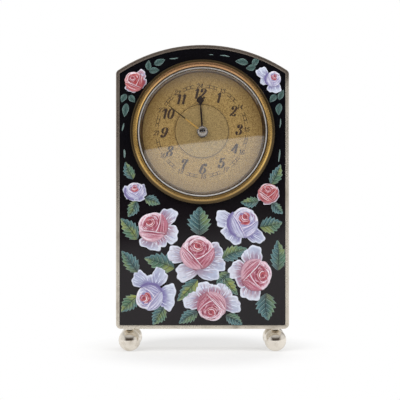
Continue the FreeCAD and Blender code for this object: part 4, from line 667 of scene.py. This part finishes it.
def wrapped_petals(rose):
    """The two large petals that cross in front of the cup, with white turned edges."""
    colours = rose.colours
    for places, light, lean, high in (
            ([(-0.99, 0.1), (-0.92, -0.42), (-0.55, -0.85), (0.08, -1.0), (0.34, -0.84), (-0.06, -0.42),
              (-0.46, 0.02), (-0.86, 0.34)], 0.55, -1.0, 0.14),
            ([(0.99, 0.1), (0.93, -0.4), (0.64, -0.78), (0.3, -0.96), (0.14, -0.74), (0.06, -0.42),
              (0.48, -0.08), (0.88, 0.34)], 0.15, 1.0, 0.146)):
        outline = smooth(rose.places(places), 5, closed=True)

        def paint(flat, share, light=light, lean=lean):
            across, along = rose.inside(flat)
            edge = np.hypot(across, along)
            streak = 0.5 + 0.5 * np.sin((across * 1.2 - along * lean) * 24 + np.sin(along * 9))
            return coated(
                colours.deep,
                (colours.mid, step(-0.9, 0.3, along + light + 0.35 * streak)),
                (colours.pale, light * step(0.5, 1.0, edge) + 0.3 * streak * (0.4 + light)),
                (colours.deep, 0.75 * (1 - streak) * step(1.0, 0.35, edge)),
                (mixed(colours.deep, SHADOW, 0.4), 0.4 * step(0.86, 1.02, edge) * (1 - light)))

        rose.layers.sheet(outline, outline.mean(axis=0), high, paint, rings=7, dome=0.15)
    for path, wide, bright in (
            (TURNED_EDGE, 0.05, 1.0),
            ([(0.9, 0.36), (0.5, -0.06), (0.1, -0.32), (-0.12, -0.38)], 0.05, 0.9),
            ([(-0.8, 0.16), (-0.5, -0.2), (-0.14, -0.6), (0.12, -0.86)], 0.03, 0.45),
            ([(-0.9, -0.1), (-0.66, -0.44), (-0.34, -0.76), (-0.1, -0.9)], 0.03, 0.3),
            ([(0.84, 0.1), (0.56, -0.26), (0.3, -0.5), (0.2, -0.62)], 0.03, 0.4),
            ([(0.92, -0.14), (0.74, -0.44), (0.5, -0.7), (0.36, -0.8)], 0.03, 0.25)):
        rose.stroke(path, wide * (rose.broad + rose.tall) / 2, mixed(colours.mid, CREASE, bright), 0.16)
    for path in ([(-0.84, 0.26), (-0.42, -0.06), (-0.02, -0.48), (0.3, -0.84)],
                 [(0.86, 0.25), (0.5, -0.15), (0.16, -0.4)]):
        rose.stroke(path, 0.03 * rose.broad, mixed(colours.deep, SHADOW, 0.25), 0.158)


def along_wraps(rose):
    """Brush lines on the crossing petals, each a step from the turned edge towards the cup's outline."""
    colours = rose.colours
    tints = [colours.pale, colours.deep, CREASE, mixed(colours.deep, SHADOW, 0.2), colours.mid,
             mixed(colours.pale, CREASE, 0.5)]
    for first, last in (
            (TURNED_EDGE, [(-0.97, 0.06), (-0.86, -0.44), (-0.52, -0.8), (0.0, -0.95)]),
            ([(0.9, 0.36), (0.52, -0.06), (0.26, -0.46), (0.28, -0.7)],
             [(0.96, 0.06), (0.86, -0.4), (0.62, -0.7), (0.36, -0.88)])):
        first, last = smooth(first, 4), smooth(last, 4)
        for row in range(1, CREASE_ROWS):
            line = first + (last - first) * (row + rng.uniform(-0.3, 0.3)) / CREASE_ROWS
            begin = rng.integers(0, 4)
            line = line[begin:begin + rng.integers(6, 11)]
            rose.stroke(line[::2], rng.uniform(0.3, 0.75), tints[rng.integers(0, len(tints))], 0.156)


def round_heart(rose):
    """Short curled lines that close round the heart, inside the crossing petals' edges."""
    colours = rose.colours
    tints = [CREASE, colours.deep, colours.pale, mixed(colours.deep, SHADOW, 0.3), CREASE,
             mixed(colours.heart, colours.deep, 0.4)]
    for index in range(HEART_ARCS):
        reach, begin, span = rng.uniform(0.22, 0.62), rng.uniform(-35, 215), rng.uniform(25, 60)
        angles = np.radians(np.linspace(begin, begin + span, 5))
        path = [(0.03 + reach * math.cos(a) * 1.1, 0.38 + reach * 0.82 * math.sin(a)) for a in angles]
        rose.stroke(path, rng.uniform(0.32, 0.75), tints[index % len(tints)], 0.137)


def rose_heart(rose):
    """The tight bud in the middle: a dark eye with curled pale edges about it."""
    def curl(broad, tall, angles):
        return [(broad * math.cos(a) + HEART_ACROSS, tall * math.sin(a) + HEART_ALONG) for a in angles]

    def paint(flat, share):
        return mixed(mixed(WARM.deep, SHADOW, 0.25), WARM.mid, 0.7 * share)

    bud = rose.places(curl(0.2, 0.18, np.linspace(0, 2 * np.pi, 24, endpoint=False)))
    rose.layers.sheet(bud, rose.at(HEART_ACROSS, HEART_ALONG), 0.15, paint, rings=4)
    for reach, begin, end, colour in (
            (0.46, 40, 150, CREASE), (0.36, 190, 330, WARM.pale), (0.3, 20, 140, WARM.mid),
            (0.24, 150, 330, CREASE), (0.17, 320, 480, WARM.pale), (0.11, 120, 280, WARM.mid)):
        arc = curl(reach, reach * 0.88, np.radians(np.linspace(begin, end, 6)))
        rose.stroke(arc, 0.045 * rose.broad, colour, 0.17)
    eye = [(x + HEART_ACROSS, y + HEART_ALONG) for x, y in ((-0.06, 0.02), (0.02, -0.04), (0.09, 0.03))]
    rose.stroke(eye, 0.06 * rose.broad, mixed(WARM.deep, (0, 0, 0), 0.5), 0.172)


def shadow_side(rose, side):
    """The violet shadow that curves round one side of a lilac rose's cup."""
    for reach, wide, share in ((1.02, 0.24, 0.0), (0.93, 0.2, 0.35), (0.82, 0.12, 0.65)):
        path = [(side * reach * math.sin(a), -reach * math.cos(a)) for a in np.linspace(0.25, 2.1, 7)]
        colour = mixed(mixed(rose.colours.deep, SHADOW, 0.3), rose.colours.mid, share)
        rose.stroke(path, wide * rose.broad, colour, 0.15 + 0.004 * share)


def rose(name, globe, size, turn, kind, petals, shadow=0):
    """A cabbage rose of open petals round a cup; petals are (x, y, long, wide, turn, depth of shade)."""
    flower = Rose(globe, size, turn, kind)
    for index, petal in enumerate(petals):
        open_petal(flower, index, petal)
    colours = flower.colours
    turns = np.linspace(0, 2 * np.pi, 60, endpoint=False)
    spin = rng.uniform(0, 6)
    swell = 0.96 + 0.055 * np.sin(4 * turns + spin) + 0.035 * np.sin(9 * turns + 2 * spin)
    ring = flower.places([(s * math.cos(a), s * math.sin(a)) for s, a in zip(swell, turns)])

    def cup_paint(flat, share):
        across, along = flower.inside(flat)
        streak = 0.5 + 0.5 * np.sin(np.arctan2(across, along + 1.5) * 44)
        return coated(
            colours.mid,
            (colours.pale, step(0.55, 0.95, share) * step(-0.4, 0.5, along + 0.2 * streak)),
            (colours.deep, 0.45 * (1 - streak) * step(0.5, 0.9, share)),
            (colours.deep, 0.6 * step(0.6, 1.0, share) * step(0.1, -0.8, along)))

    flower.layers.sheet(ring, globe, 0.1, cup_paint, rings=8)
    inner_petals(flower)
    round_heart(flower)
    wrapped_petals(flower)
    along_wraps(flower)
    if shadow:
        shadow_side(flower, shadow)
    rose_heart(flower)
    flower.layers.piece(name, "case", "enamel", painted_enamel)


rose("rose_centre", (197.4, 252.8), (17.4, 17.0), 88, "pink", [
    (177.0, 255.2, 23, 17, 168, 0.05), (214.8, 251.4, 18, 17, 22, 0.1), (215.4, 262.8, 23, 16, -14, 0.05),
    (187.4, 271.8, 27, 17, 198, 0.1), (207.4, 272.2, 25, 17, -12, 0.1)])
rose("rose_upper_left", (153.0, 227.0), (15.5, 14.5), 128, "pink", [
    (151.0, 242.0, 18, 22, -106, 0.25), (166.6, 218.2, 24, 17, 50, 0.35), (168.8, 233.6, 22, 18, -24, 0.35),
    (160.0, 238.6, 18, 16, -62, 0.6)])
rose("rose_upper_right", (243.6, 222.8), (14.6, 15.2), 76, "lilac", [
    (225.0, 219.4, 21, 17, 160, 0.4), (232.8, 234.2, 18, 22, -126, 0.4), (254.4, 235.2, 22, 15, -28, 0.45),
    (233.0, 226.0, 17, 20, 196, 1.0)], shadow=-1)
rose("rose_right", (256.2, 275.0), (16.2, 15.6), 2, "pink", [
    (252.6, 257.4, 24, 21, 98, 0.3), (239.0, 270.6, 22, 20, 172, 0.45), (251.0, 290.0, 24, 20, -98, 0.35),
    (246.0, 280.0, 20, 20, 205, 0.9)])
rose("rose_lower_left", (149.4, 297.6), (13.2, 13.6), 190, "lilac", [
    (152.6, 281.8, 17, 20, 92, 1.0), (140.6, 280.0, 20, 16, 146, 0.35), (158.8, 277.8, 22, 16, 66, 0.4),
    (166.8, 297.0, 20, 26, -8, 0.5)], shadow=1)
rose("rose_bottom", (211.6, 306.2), (14.8, 14.6), -90, "pink", [
    (205.0, 290.6, 18, 20, 112, 0.5), (223.2, 292.0, 20, 20, 56, 0.45), (193.4, 300.6, 21, 19, 194, 0.4),
    (230.6, 304.0, 23, 17, -16, 0.35), (210.0, 294.6, 20, 26, 90, 1.0)])
rose("rose_top_left", (134.2, 81.6), (9.4, 10.2), 118, "red", [
    (140.6, 75.4, 12, 10, 48, 0.4), (131.4, 86.8, 12, 12, -96, 0.3), (141.0, 83.0, 11, 11, -24, 0.5)])
rose("rose_top_right", (273.4, 79.0), (7.6, 7.8), 68, "lilac", [
    (263.0, 73.4, 15, 11, 132, 0.3), (274.2, 87.0, 13, 14, -82, 0.4), (265.4, 80.0, 11, 10, 196, 0.6)],
    shadow=-1)
rose("rose_middle_left", (134.9, 191.0), (9.6, 8.4), 100, "lilac", [
    (127.8, 192.0, 10, 13, 184, 0.4), (136.8, 197.0, 10, 15, -84, 0.4), (142.2, 190.6, 9, 12, 6, 0.3)],
    shadow=-1)
rose("rose_middle_right", (268.2, 193.2), (10.2, 9.6), 96, "red", [
    (261.4, 194.6, 9, 12, 184, 0.4), (269.8, 199.6, 10, 14, -76, 0.4), (275.4, 193.0, 9, 11, 4, 0.4)])


LEAF = SimpleNamespace(teal=tone(34, 74, 76), blue=tone(70, 118, 128), green=tone(64, 106, 72),
                       yellow=tone(150, 156, 62), tip=tone(146, 176, 170), dark=tone(12, 32, 32),
                       brown=tone(82, 66, 54), grey=tone(74, 100, 92))


def leaf_colour(share, out, lean, vein, blot, warm, grown):
    """share runs from base to tip, out from midrib to edge, and lean from the cool half to the warm."""
    if grown:
        colour = coated(
            mixed(LEAF.teal, LEAF.blue, 0.8 * out * (1 - 0.6 * warm) + 0.15),
            (mixed(LEAF.green, LEAF.yellow, (0.25 + 0.75 * warm) * step(0.25, 0.8, blot)),
             step(-0.3, 0.5, lean + (warm - 0.4) * 0.9 + 0.5 * (blot - 0.5))),
            (LEAF.brown, 0.55 * step(0.34, 0.04, share) * (1 - warm)),
            (LEAF.blue, 0.5 * step(0.6, 1.0, share) * (1 - warm)))
    else:
        colour = mixed(LEAF.grey, LEAF.teal, 0.25 + 0.45 * blot)
    return coated(
        colour,
        (LEAF.tip, 0.42 * vein * out + 0.25 * step(0.82, 1.0, share)),
        (LEAF.dark, 0.45 * (1 - vein) * (1 - 0.5 * out) * (0.8 - 0.4 * warm)),
        (LEAF.tip, 0.5 * step(0.85, 1.0, out)))


def leaf(layers, base, tip, wide, warm, teeth=6, grown=True):
    """A serrated leaf from its base to its tip: a cool half, a warm half, dark midrib and pale veins."""
    base, tip = np.asarray(base, dtype=float), np.asarray(tip, dtype=float)
    way = tip - base
    long = np.linalg.norm(way)
    ahead = way / long
    side = np.array([ahead[1], -ahead[0]])
    bow = rng.uniform(-0.06, 0.06) * long
    rows, columns = teeth * 5, 5
    share = np.linspace(0, 1, rows + 1)
    saw = (share * teeth) % 1.0
    full = np.sin(np.pi * share ** 0.72) ** 0.85 * (1 - 0.25 * share)
    edge = wide / 2 * full * ((0.84 + 0.44 * saw) if grown else (0.94 + 0.08 * saw))
    spine = base + np.outer(share * long, ahead) + np.outer(np.sin(share * np.pi) * bow, side)
    flip = 1 if rng.uniform() < 0.5 else -1
    first, second = rng.uniform(0, 6, 2)
    flat, up, colours = [], [], []
    for row in range(rows + 1):
        for column in range(-columns, columns + 1):
            aside = column / columns
            out = abs(aside)
            flat.append(spine[row] + side * edge[row] * aside + ahead * out * edge[row] * 0.25)
            up.append(0.02 if out > 0.99 else 0.055 - 0.02 * out - 0.012 * (out < 0.1))
            vein = (0.5 + 0.5 * math.sin((share[row] * teeth - out * 1.1) * 2 * math.pi)) ** 2
            blot = 0.5 + 0.5 * math.sin(share[row] * 7 + first) * math.cos(aside * 2.6 + second)
            colours.append(leaf_colour(share[row], out, aside * flip, vein, blot, warm, grown))
    wide_row = 2 * columns + 1
    corners = [row * wide_row + column for row in range(rows) for column in range(2 * columns)]
    faces = [(corner, corner + wide_row, corner + wide_row + 1, corner + 1) for corner in corners]
    layers.add(np.array(flat), up, faces, np.array(colours))
    layers.stroke(spine[::5], [0.9, 0.7, 0.4] if grown else 0.35, LEAF.dark, 0.065)
    if not grown:
        return
    for index in range(1, teeth):
        start = spine[index * 5]
        reach = edge[index * 5 + 2] * 0.72
        for lean in (-1, 1):
            end = start + side * lean * reach + ahead * reach * 0.8
            layers.stroke([start, (start + end) / 2 - ahead * 0.2, end], 0.42, LEAF.dark, 0.062)
            layers.stroke([start + ahead * 0.6, (start + end) / 2 + ahead * 0.5, end + ahead * 0.6], 0.34,
                          mixed(LEAF.tip, LEAF.yellow, 0.5 * warm), 0.061)


big = Layers(ENAMEL_FACE)
for *ends, wide, warm in (
        (199.7, 235.4, 199.7, 206.6, 23, 0.15), (137.4, 239.4, 120.6, 218.4, 16, 0.75),
        (260.0, 227.0, 282.4, 222.4, 17, 0.6), (137.6, 272.6, 121.4, 251.0, 15, 0.2),
        (174.4, 268.4, 144.2, 258.2, 19, 0.65), (221.6, 258.4, 247.4, 248.4, 15, 0.5),
        (278.0, 270.6, 277.4, 240.0, 16, 0.4), (137.8, 296.0, 121.2, 312.2, 15, 0.9),
        (163.6, 306.6, 152.8, 324.8, 15, 0.45), (197.6, 279.8, 177.0, 301.2, 15, 0.9),
        (229.8, 273.0, 216.4, 283.6, 12, 0.25), (222.4, 274.4, 238.0, 295.2, 13, 0.85),
        (266.4, 293.2, 268.2, 320.6, 20, 0.15), (197.6, 312.0, 178.8, 323.6, 13, 0.2),
        (225.8, 315.6, 242.4, 324.8, 12, 0.1)):
    leaf(big, ends[:2], ends[2:], wide, warm)
big.piece("leaves_lower", "case", "enamel", painted_enamel)

small = Layers(ENAMEL_FACE)
for *ends, wide, warm in (
        (136.4, 201.0, 128.0, 217.0, 12, 0.5), (144.8, 198.2, 160.0, 204.0, 11, 0.35),
        (258.8, 200.8, 240.6, 202.4, 11, 0.45), (272.0, 203.0, 283.0, 213.8, 10, 0.0),
        (133.0, 179.2, 125.2, 162.0, 11, 0.5), (271.2, 184.6, 280.6, 164.2, 12, 0.55)):
    leaf(small, ends[:2], ends[2:], wide, warm, teeth=5)
for *ends, wide, warm in (
        (154.0, 64.2, 165.2, 59.4, 7.2, 0.2), (148.4, 70.2, 148.8, 60.0, 6.6, 0.1),
        (149.0, 71.2, 159.4, 70.0, 7.0, 0.2), (126.2, 94.0, 121.4, 102.2, 6.6, 0.1),
        (129.0, 95.2, 134.8, 102.2, 6.8, 0.2), (126.6, 103.2, 124.2, 117.0, 7.4, 0.25),
        (248.2, 63.0, 235.2, 61.2, 7.4, 0.2), (252.6, 65.4, 259.6, 57.8, 7.0, 0.15),
        (255.8, 66.6, 246.0, 68.4, 7.0, 0.1), (276.4, 94.6, 270.0, 102.2, 7.0, 0.15),
        (278.6, 99.6, 283.8, 89.8, 6.4, 0.1), (280.0, 103.2, 278.8, 115.2, 7.4, 0.25)):
    leaf(small, ends[:2], ends[2:], wide, warm, teeth=4, grown=False)
for path, wide in (
        ([(169.2, 58.7), (173.6, 58.5), (178.2, 57.8)], 1.0),
        ([(220.2, 55.2), (225, 55.5), (229.6, 56.6)], 1.1),
        ([(209.4, 54.6), (211.4, 54.4), (213.4, 54.8)], 0.8),
        ([(123.9, 123.2), (123.0, 127), (122.0, 130.8)], 1.5),
        ([(124.1, 149.2), (124.6, 153.6), (124.3, 158)], 2.0),
        ([(280.6, 118.4), (280.6, 123), (279.8, 127.8)], 1.1),
        ([(280.0, 149.2), (279.6, 155), (278.6, 161.8)], 1.5)):
    small.stroke(path, wide, mixed(LEAF.tip, LEAF.dark, 0.52), 0.05)
small.piece("leaves_upper", "case", "enamel", painted_enamel)


# Dial printing

@finish
def dial_ink(n):
    patch = n.noise(2400.0, detail=3.0)
    n.set(Base_Color=n.mix(n.rise(patch, 0.35, 0.7), (38, 24, 22), (66, 44, 34)), Roughness=0.5)


INK = tone(40, 26, 24)
SLANT = 0.25
THIN_SHARE = 0.06
# Pen lines of the figures, in hundredths of their height from the lower left
HUNDREDTHS = {
    "1": [[(10, 80), (22, 88), (33, 100)], [(34, 100), (34, 0)]],
    "2": [[(12, 76), (15, 92), (30, 100), (48, 90), (50, 72), (40, 48), (22, 24), (5, 4)],
          [(5, 5), (20, 12), (38, 4), (50, 6), (56, 20)]],
    "3": [[(12, 80), (17, 94), (30, 100), (45, 90), (46, 72), (36, 58), (22, 54)],
          [(24, 54), (44, 46), (52, 28), (44, 7), (26, 0), (12, 8), (8, 20)]],
    "4": [[(40, 100), (22, 62), (0, 28)], [(0, 28), (30, 28), (60, 28)], [(42, 98), (42, 0)]],
    "5": [[(14, 96), (30, 92), (50, 98)], [(15, 96), (13, 75), (12, 54)],
          [(12, 54), (28, 63), (46, 54), (52, 30), (42, 8), (24, 0), (10, 8), (7, 20)]],
    "6": [[(50, 84), (42, 98), (26, 92), (12, 66), (6, 34), (14, 7), (30, 0), (46, 9), (52, 30), (44, 52),
           (30, 58), (15, 50), (8, 34)]],
    "7": [[(8, 78), (13, 94), (26, 97), (42, 90), (56, 98)], [(56, 98), (40, 68), (29, 36), (27, 0)]],
    "8": [[(30, 100), (15, 92), (13, 72), (30, 54), (50, 36), (48, 10), (30, 0), (10, 10), (8, 34), (30, 54),
           (46, 72), (45, 92), (30, 100)]],
    "0": [[(30, 100), (12, 84), (6, 50), (12, 16), (30, 0), (48, 16), (54, 50), (48, 84), (30, 100)]],
}
DIGITS = {sign: [[(x / 100, y / 100) for x, y in path] for path in paths]
          for sign, paths in HUNDREDTHS.items()}
DIGITS["9"] = [[(0.6 - x, 1 - y) for x, y in path] for path in DIGITS["6"]]
BALLS = {"2": [(0.15, 0.77)], "3": [(0.15, 0.8), (0.11, 0.2)], "5": [(0.1, 0.2)], "6": [(0.48, 0.85)],
         "9": [(0.12, 0.15)], "7": [(0.1, 0.8)]}
BARS = {("2", 1): 0.5, ("5", 0): 0.5, ("7", 0): 0.45}


def digit(layers, sign, corner, tall, stem, high):
    """One italic figure: upright strokes are thick, level ones thin, as a flexed pen draws them."""
    def spot(x, y):
        return (corner[0] + (x + SLANT * (y - 0.5)) * tall, corner[1] - y * tall)

    for index, path in enumerate(DIGITS[sign]):
        curve = smooth(path, 7) if len(path) > 2 else np.linspace(path[0], path[1], 4)
        way = np.gradient(curve, axis=0)
        rise = np.abs(way[:, 1]) / np.maximum(np.linalg.norm(way, axis=1), 1e-9)
        level = BARS.get((sign, index), THIN_SHARE / stem)
        widths = stem * np.maximum(level * (1 - rise), 0) + stem * rise ** 1.6
        widths = np.maximum(widths, THIN_SHARE) * tall
        layers.stroke([spot(*place) for place in curve], widths, INK, high, taper=False, steps=1)
    for x, y in BALLS.get(sign, ()):
        turns = np.linspace(0, 2 * np.pi, 14, endpoint=False)
        middle = np.array(spot(x, y))
        ring = middle + np.stack([np.cos(turns), np.sin(turns)], axis=1) * stem * 0.62 * tall
        layers.sheet(ring, middle, high, lambda flat, share: np.tile(INK, (len(flat), 1)), rings=1, dome=0.0)


PRINT_MIDDLE = (CENTRE[0] - 0.7, CENTRE[1] - 1.1)
PRINT_TURN = -2.2
LARGE = {"radius": 37.6, "tall": 9.9, "stem": 0.235, "high": 0.02, "gap": 0.03}
SMALL = {"radius": 45.4, "tall": 4.7, "stem": 0.17, "high": 0.015, "gap": 0.06}


def number(layers, value, radius, tall, stem, high, gap):
    """An upright number centred at its hour on a circle."""
    signs = str(value)
    angle = math.radians(value % 12 * 30 + PRINT_TURN)
    middle = (PRINT_MIDDLE[0] + radius * math.sin(angle), PRINT_MIDDLE[1] - radius * math.cos(angle))
    widths = [0.46 if sign == "1" else 0.6 for sign in signs]
    total = sum(widths) + gap * (len(signs) - 1)
    x = -total / 2
    for sign, wide in zip(signs, widths):
        digit(layers, sign, (middle[0] + (x - (0.12 if sign == "1" else 0)) * tall, middle[1] + tall / 2),
              tall, stem, high)
        x += wide + gap


figures, track = Layers(DIAL_FACE), Layers(DIAL_FACE)
for hour in range(1, 13):
    number(figures, hour, **LARGE)
    number(track, hour + 12, **SMALL)
figures.piece("dial_numerals", "case", "dial_gilt", dial_ink)
TRACK_IN, TRACK_OUT = 43.8, 46.4
GAP = 7.5


def arc(layers, radius, begin, end, wide, high=0.012):
    angles = np.radians(np.linspace(begin, end, max(4, int(abs(end - begin) / 3))))
    across, down = PRINT_MIDDLE[0] + radius * np.sin(angles), PRINT_MIDDLE[1] - radius * np.cos(angles)
    layers.stroke(np.stack([across, down], axis=1), wide, INK, high, taper=False, steps=1)


for hour in range(12):
    for radius in (TRACK_IN, TRACK_OUT):
        arc(track, radius, hour * 30 + GAP + PRINT_TURN, hour * 30 + 30 - GAP + PRINT_TURN, 0.5)
    for minute in (2, 3):
        angle = math.radians(hour * 30 + minute * 6 + PRINT_TURN)
        way = np.array([math.sin(angle), -math.cos(angle)])
        ends = [PRINT_MIDDLE + way * out for out in (TRACK_IN, TRACK_OUT)]
        track.stroke(ends, 0.7, INK, 0.012, taper=False)
for radius, wide in ((26.8, 0.6), (27.9, 0.16)):
    arc(track, radius, 0, 360, wide)
track.piece("dial_track", "case", "dial_gilt", dial_ink)


# Floor, background and lamps

FLOOR_ROUND = 0.5
SHADOW_ROUND = (0.018, 0.036)
LAMPS_AIM = (0, 0, 0.04)
HORIZON_LOW, HORIZON_SLOPE = 0.033, 0.124
bpy.ops.mesh.primitive_circle_add(vertices=96, radius=FLOOR_ROUND, fill_type="NGON")
floor = bpy.context.object
floor.name = "floor"
f = Finish("floor_finish")
f.set(Base_Color=(0.86, 0.86, 0.86, 1), Roughness=1.0, Specular_IOR_Level=0.0)
away = f.node("VectorMath", {0: f.place()}, operation="LENGTH")["Value"]
path = f.node("LightPath")
seen = f.math("MAXIMUM", path["Is Camera Ray"],
              f.math("MAXIMUM", path["Is Glossy Ray"], path["Is Transmission Ray"]))
glow = f.node("Emission", {"Color": (1, 1, 1, 1), "Strength": 1.0})[0]
f.overlay(f.math("MULTIPLY", seen, f.between(away, *SHADOW_ROUND, 0.54, 1.0)), glow)
floor.data.materials.append(f.material)

world = bpy.data.worlds.new("studio")
bpy.context.scene.world = world
world.use_nodes = True
w = Nodes(world.node_tree)
w.tree.nodes.clear()
sky = w.node("SeparateXYZ", {0: w.node("TexCoord")["Generated"]})
slope = w.math("MULTIPLY", sky["X"], HORIZON_SLOPE)
low_line = w.math("SUBTRACT", slope, w.math("ADD", sky["Z"], HORIZON_LOW))
bright = w.rise(low_line, -0.006, 0.006)
sides = w.rise(w.math("ABSOLUTE", sky["X"]), 0.5, 0.9, 0.8)
top = w.rise(sky["Z"], 0.3, 0.75, 0.6)
turned = w.math("ADD", w.math("ABSOLUTE", sky["Z"]), w.math("MULTIPLY", sky["X"], 0.35))
level = w.between(turned, 0.8, -0.1, 0.3, 0.95)
behind = w.math("MULTIPLY", w.rise(sky["Y"], -0.05, 0.25), level)
light = w.math("MAXIMUM", w.math("MAXIMUM", bright, behind), w.math("MAXIMUM", sides, top))
room = w.mix(light, (78, 70, 64), (255, 255, 255))
rays = w.node("LightPath")
skies = ((room, 1.0), ((1, 1, 1, 1), 1.0), ((1, 0.99, 0.98, 1), 0.42))
mirrored, plain, soft = [w.node("Background", {"Color": colour, "Strength": strength})[0]
                         for colour, strength in skies]
clear_rays = w.math("MAXIMUM", rays["Is Glossy Ray"], rays["Is Transmission Ray"])
first = w.node("MixShader", {0: clear_rays, 1: soft, 2: mirrored})[0]
last = w.node("MixShader", {0: rays["Is Camera Ray"], 1: first, 2: plain})[0]
w.feed(last, w.tree.nodes.new("ShaderNodeOutputWorld").inputs["Surface"])


for name, place, size, watts, colour in (
        ("key", (-0.28, -0.34, 0.42), 0.3, 1.9, (1, 0.985, 0.96)),
        ("fill", (0.34, -0.3, 0.3), 0.35, 1.1, (0.97, 0.985, 1)),
        ("rear", (0.1, 0.4, 0.4), 0.35, 1.1, (1, 1, 1))):
    data = bpy.data.lights.new(name, "AREA")
    data.shape = "SQUARE"
    data.size = size
    data.energy = watts
    data.color = colour
    lamp = bpy.data.objects.new(name, data)
    lamp.location = place
    lamp.rotation_euler = Vector(np.array(LAMPS_AIM) - place).to_track_quat("-Z", "Y").to_euler()
    lamp.visible_glossy = False
    lamp.visible_transmission = False
    bpy.context.collection.objects.link(lamp)

bpy.context.scene.view_settings.view_transform = "Standard"
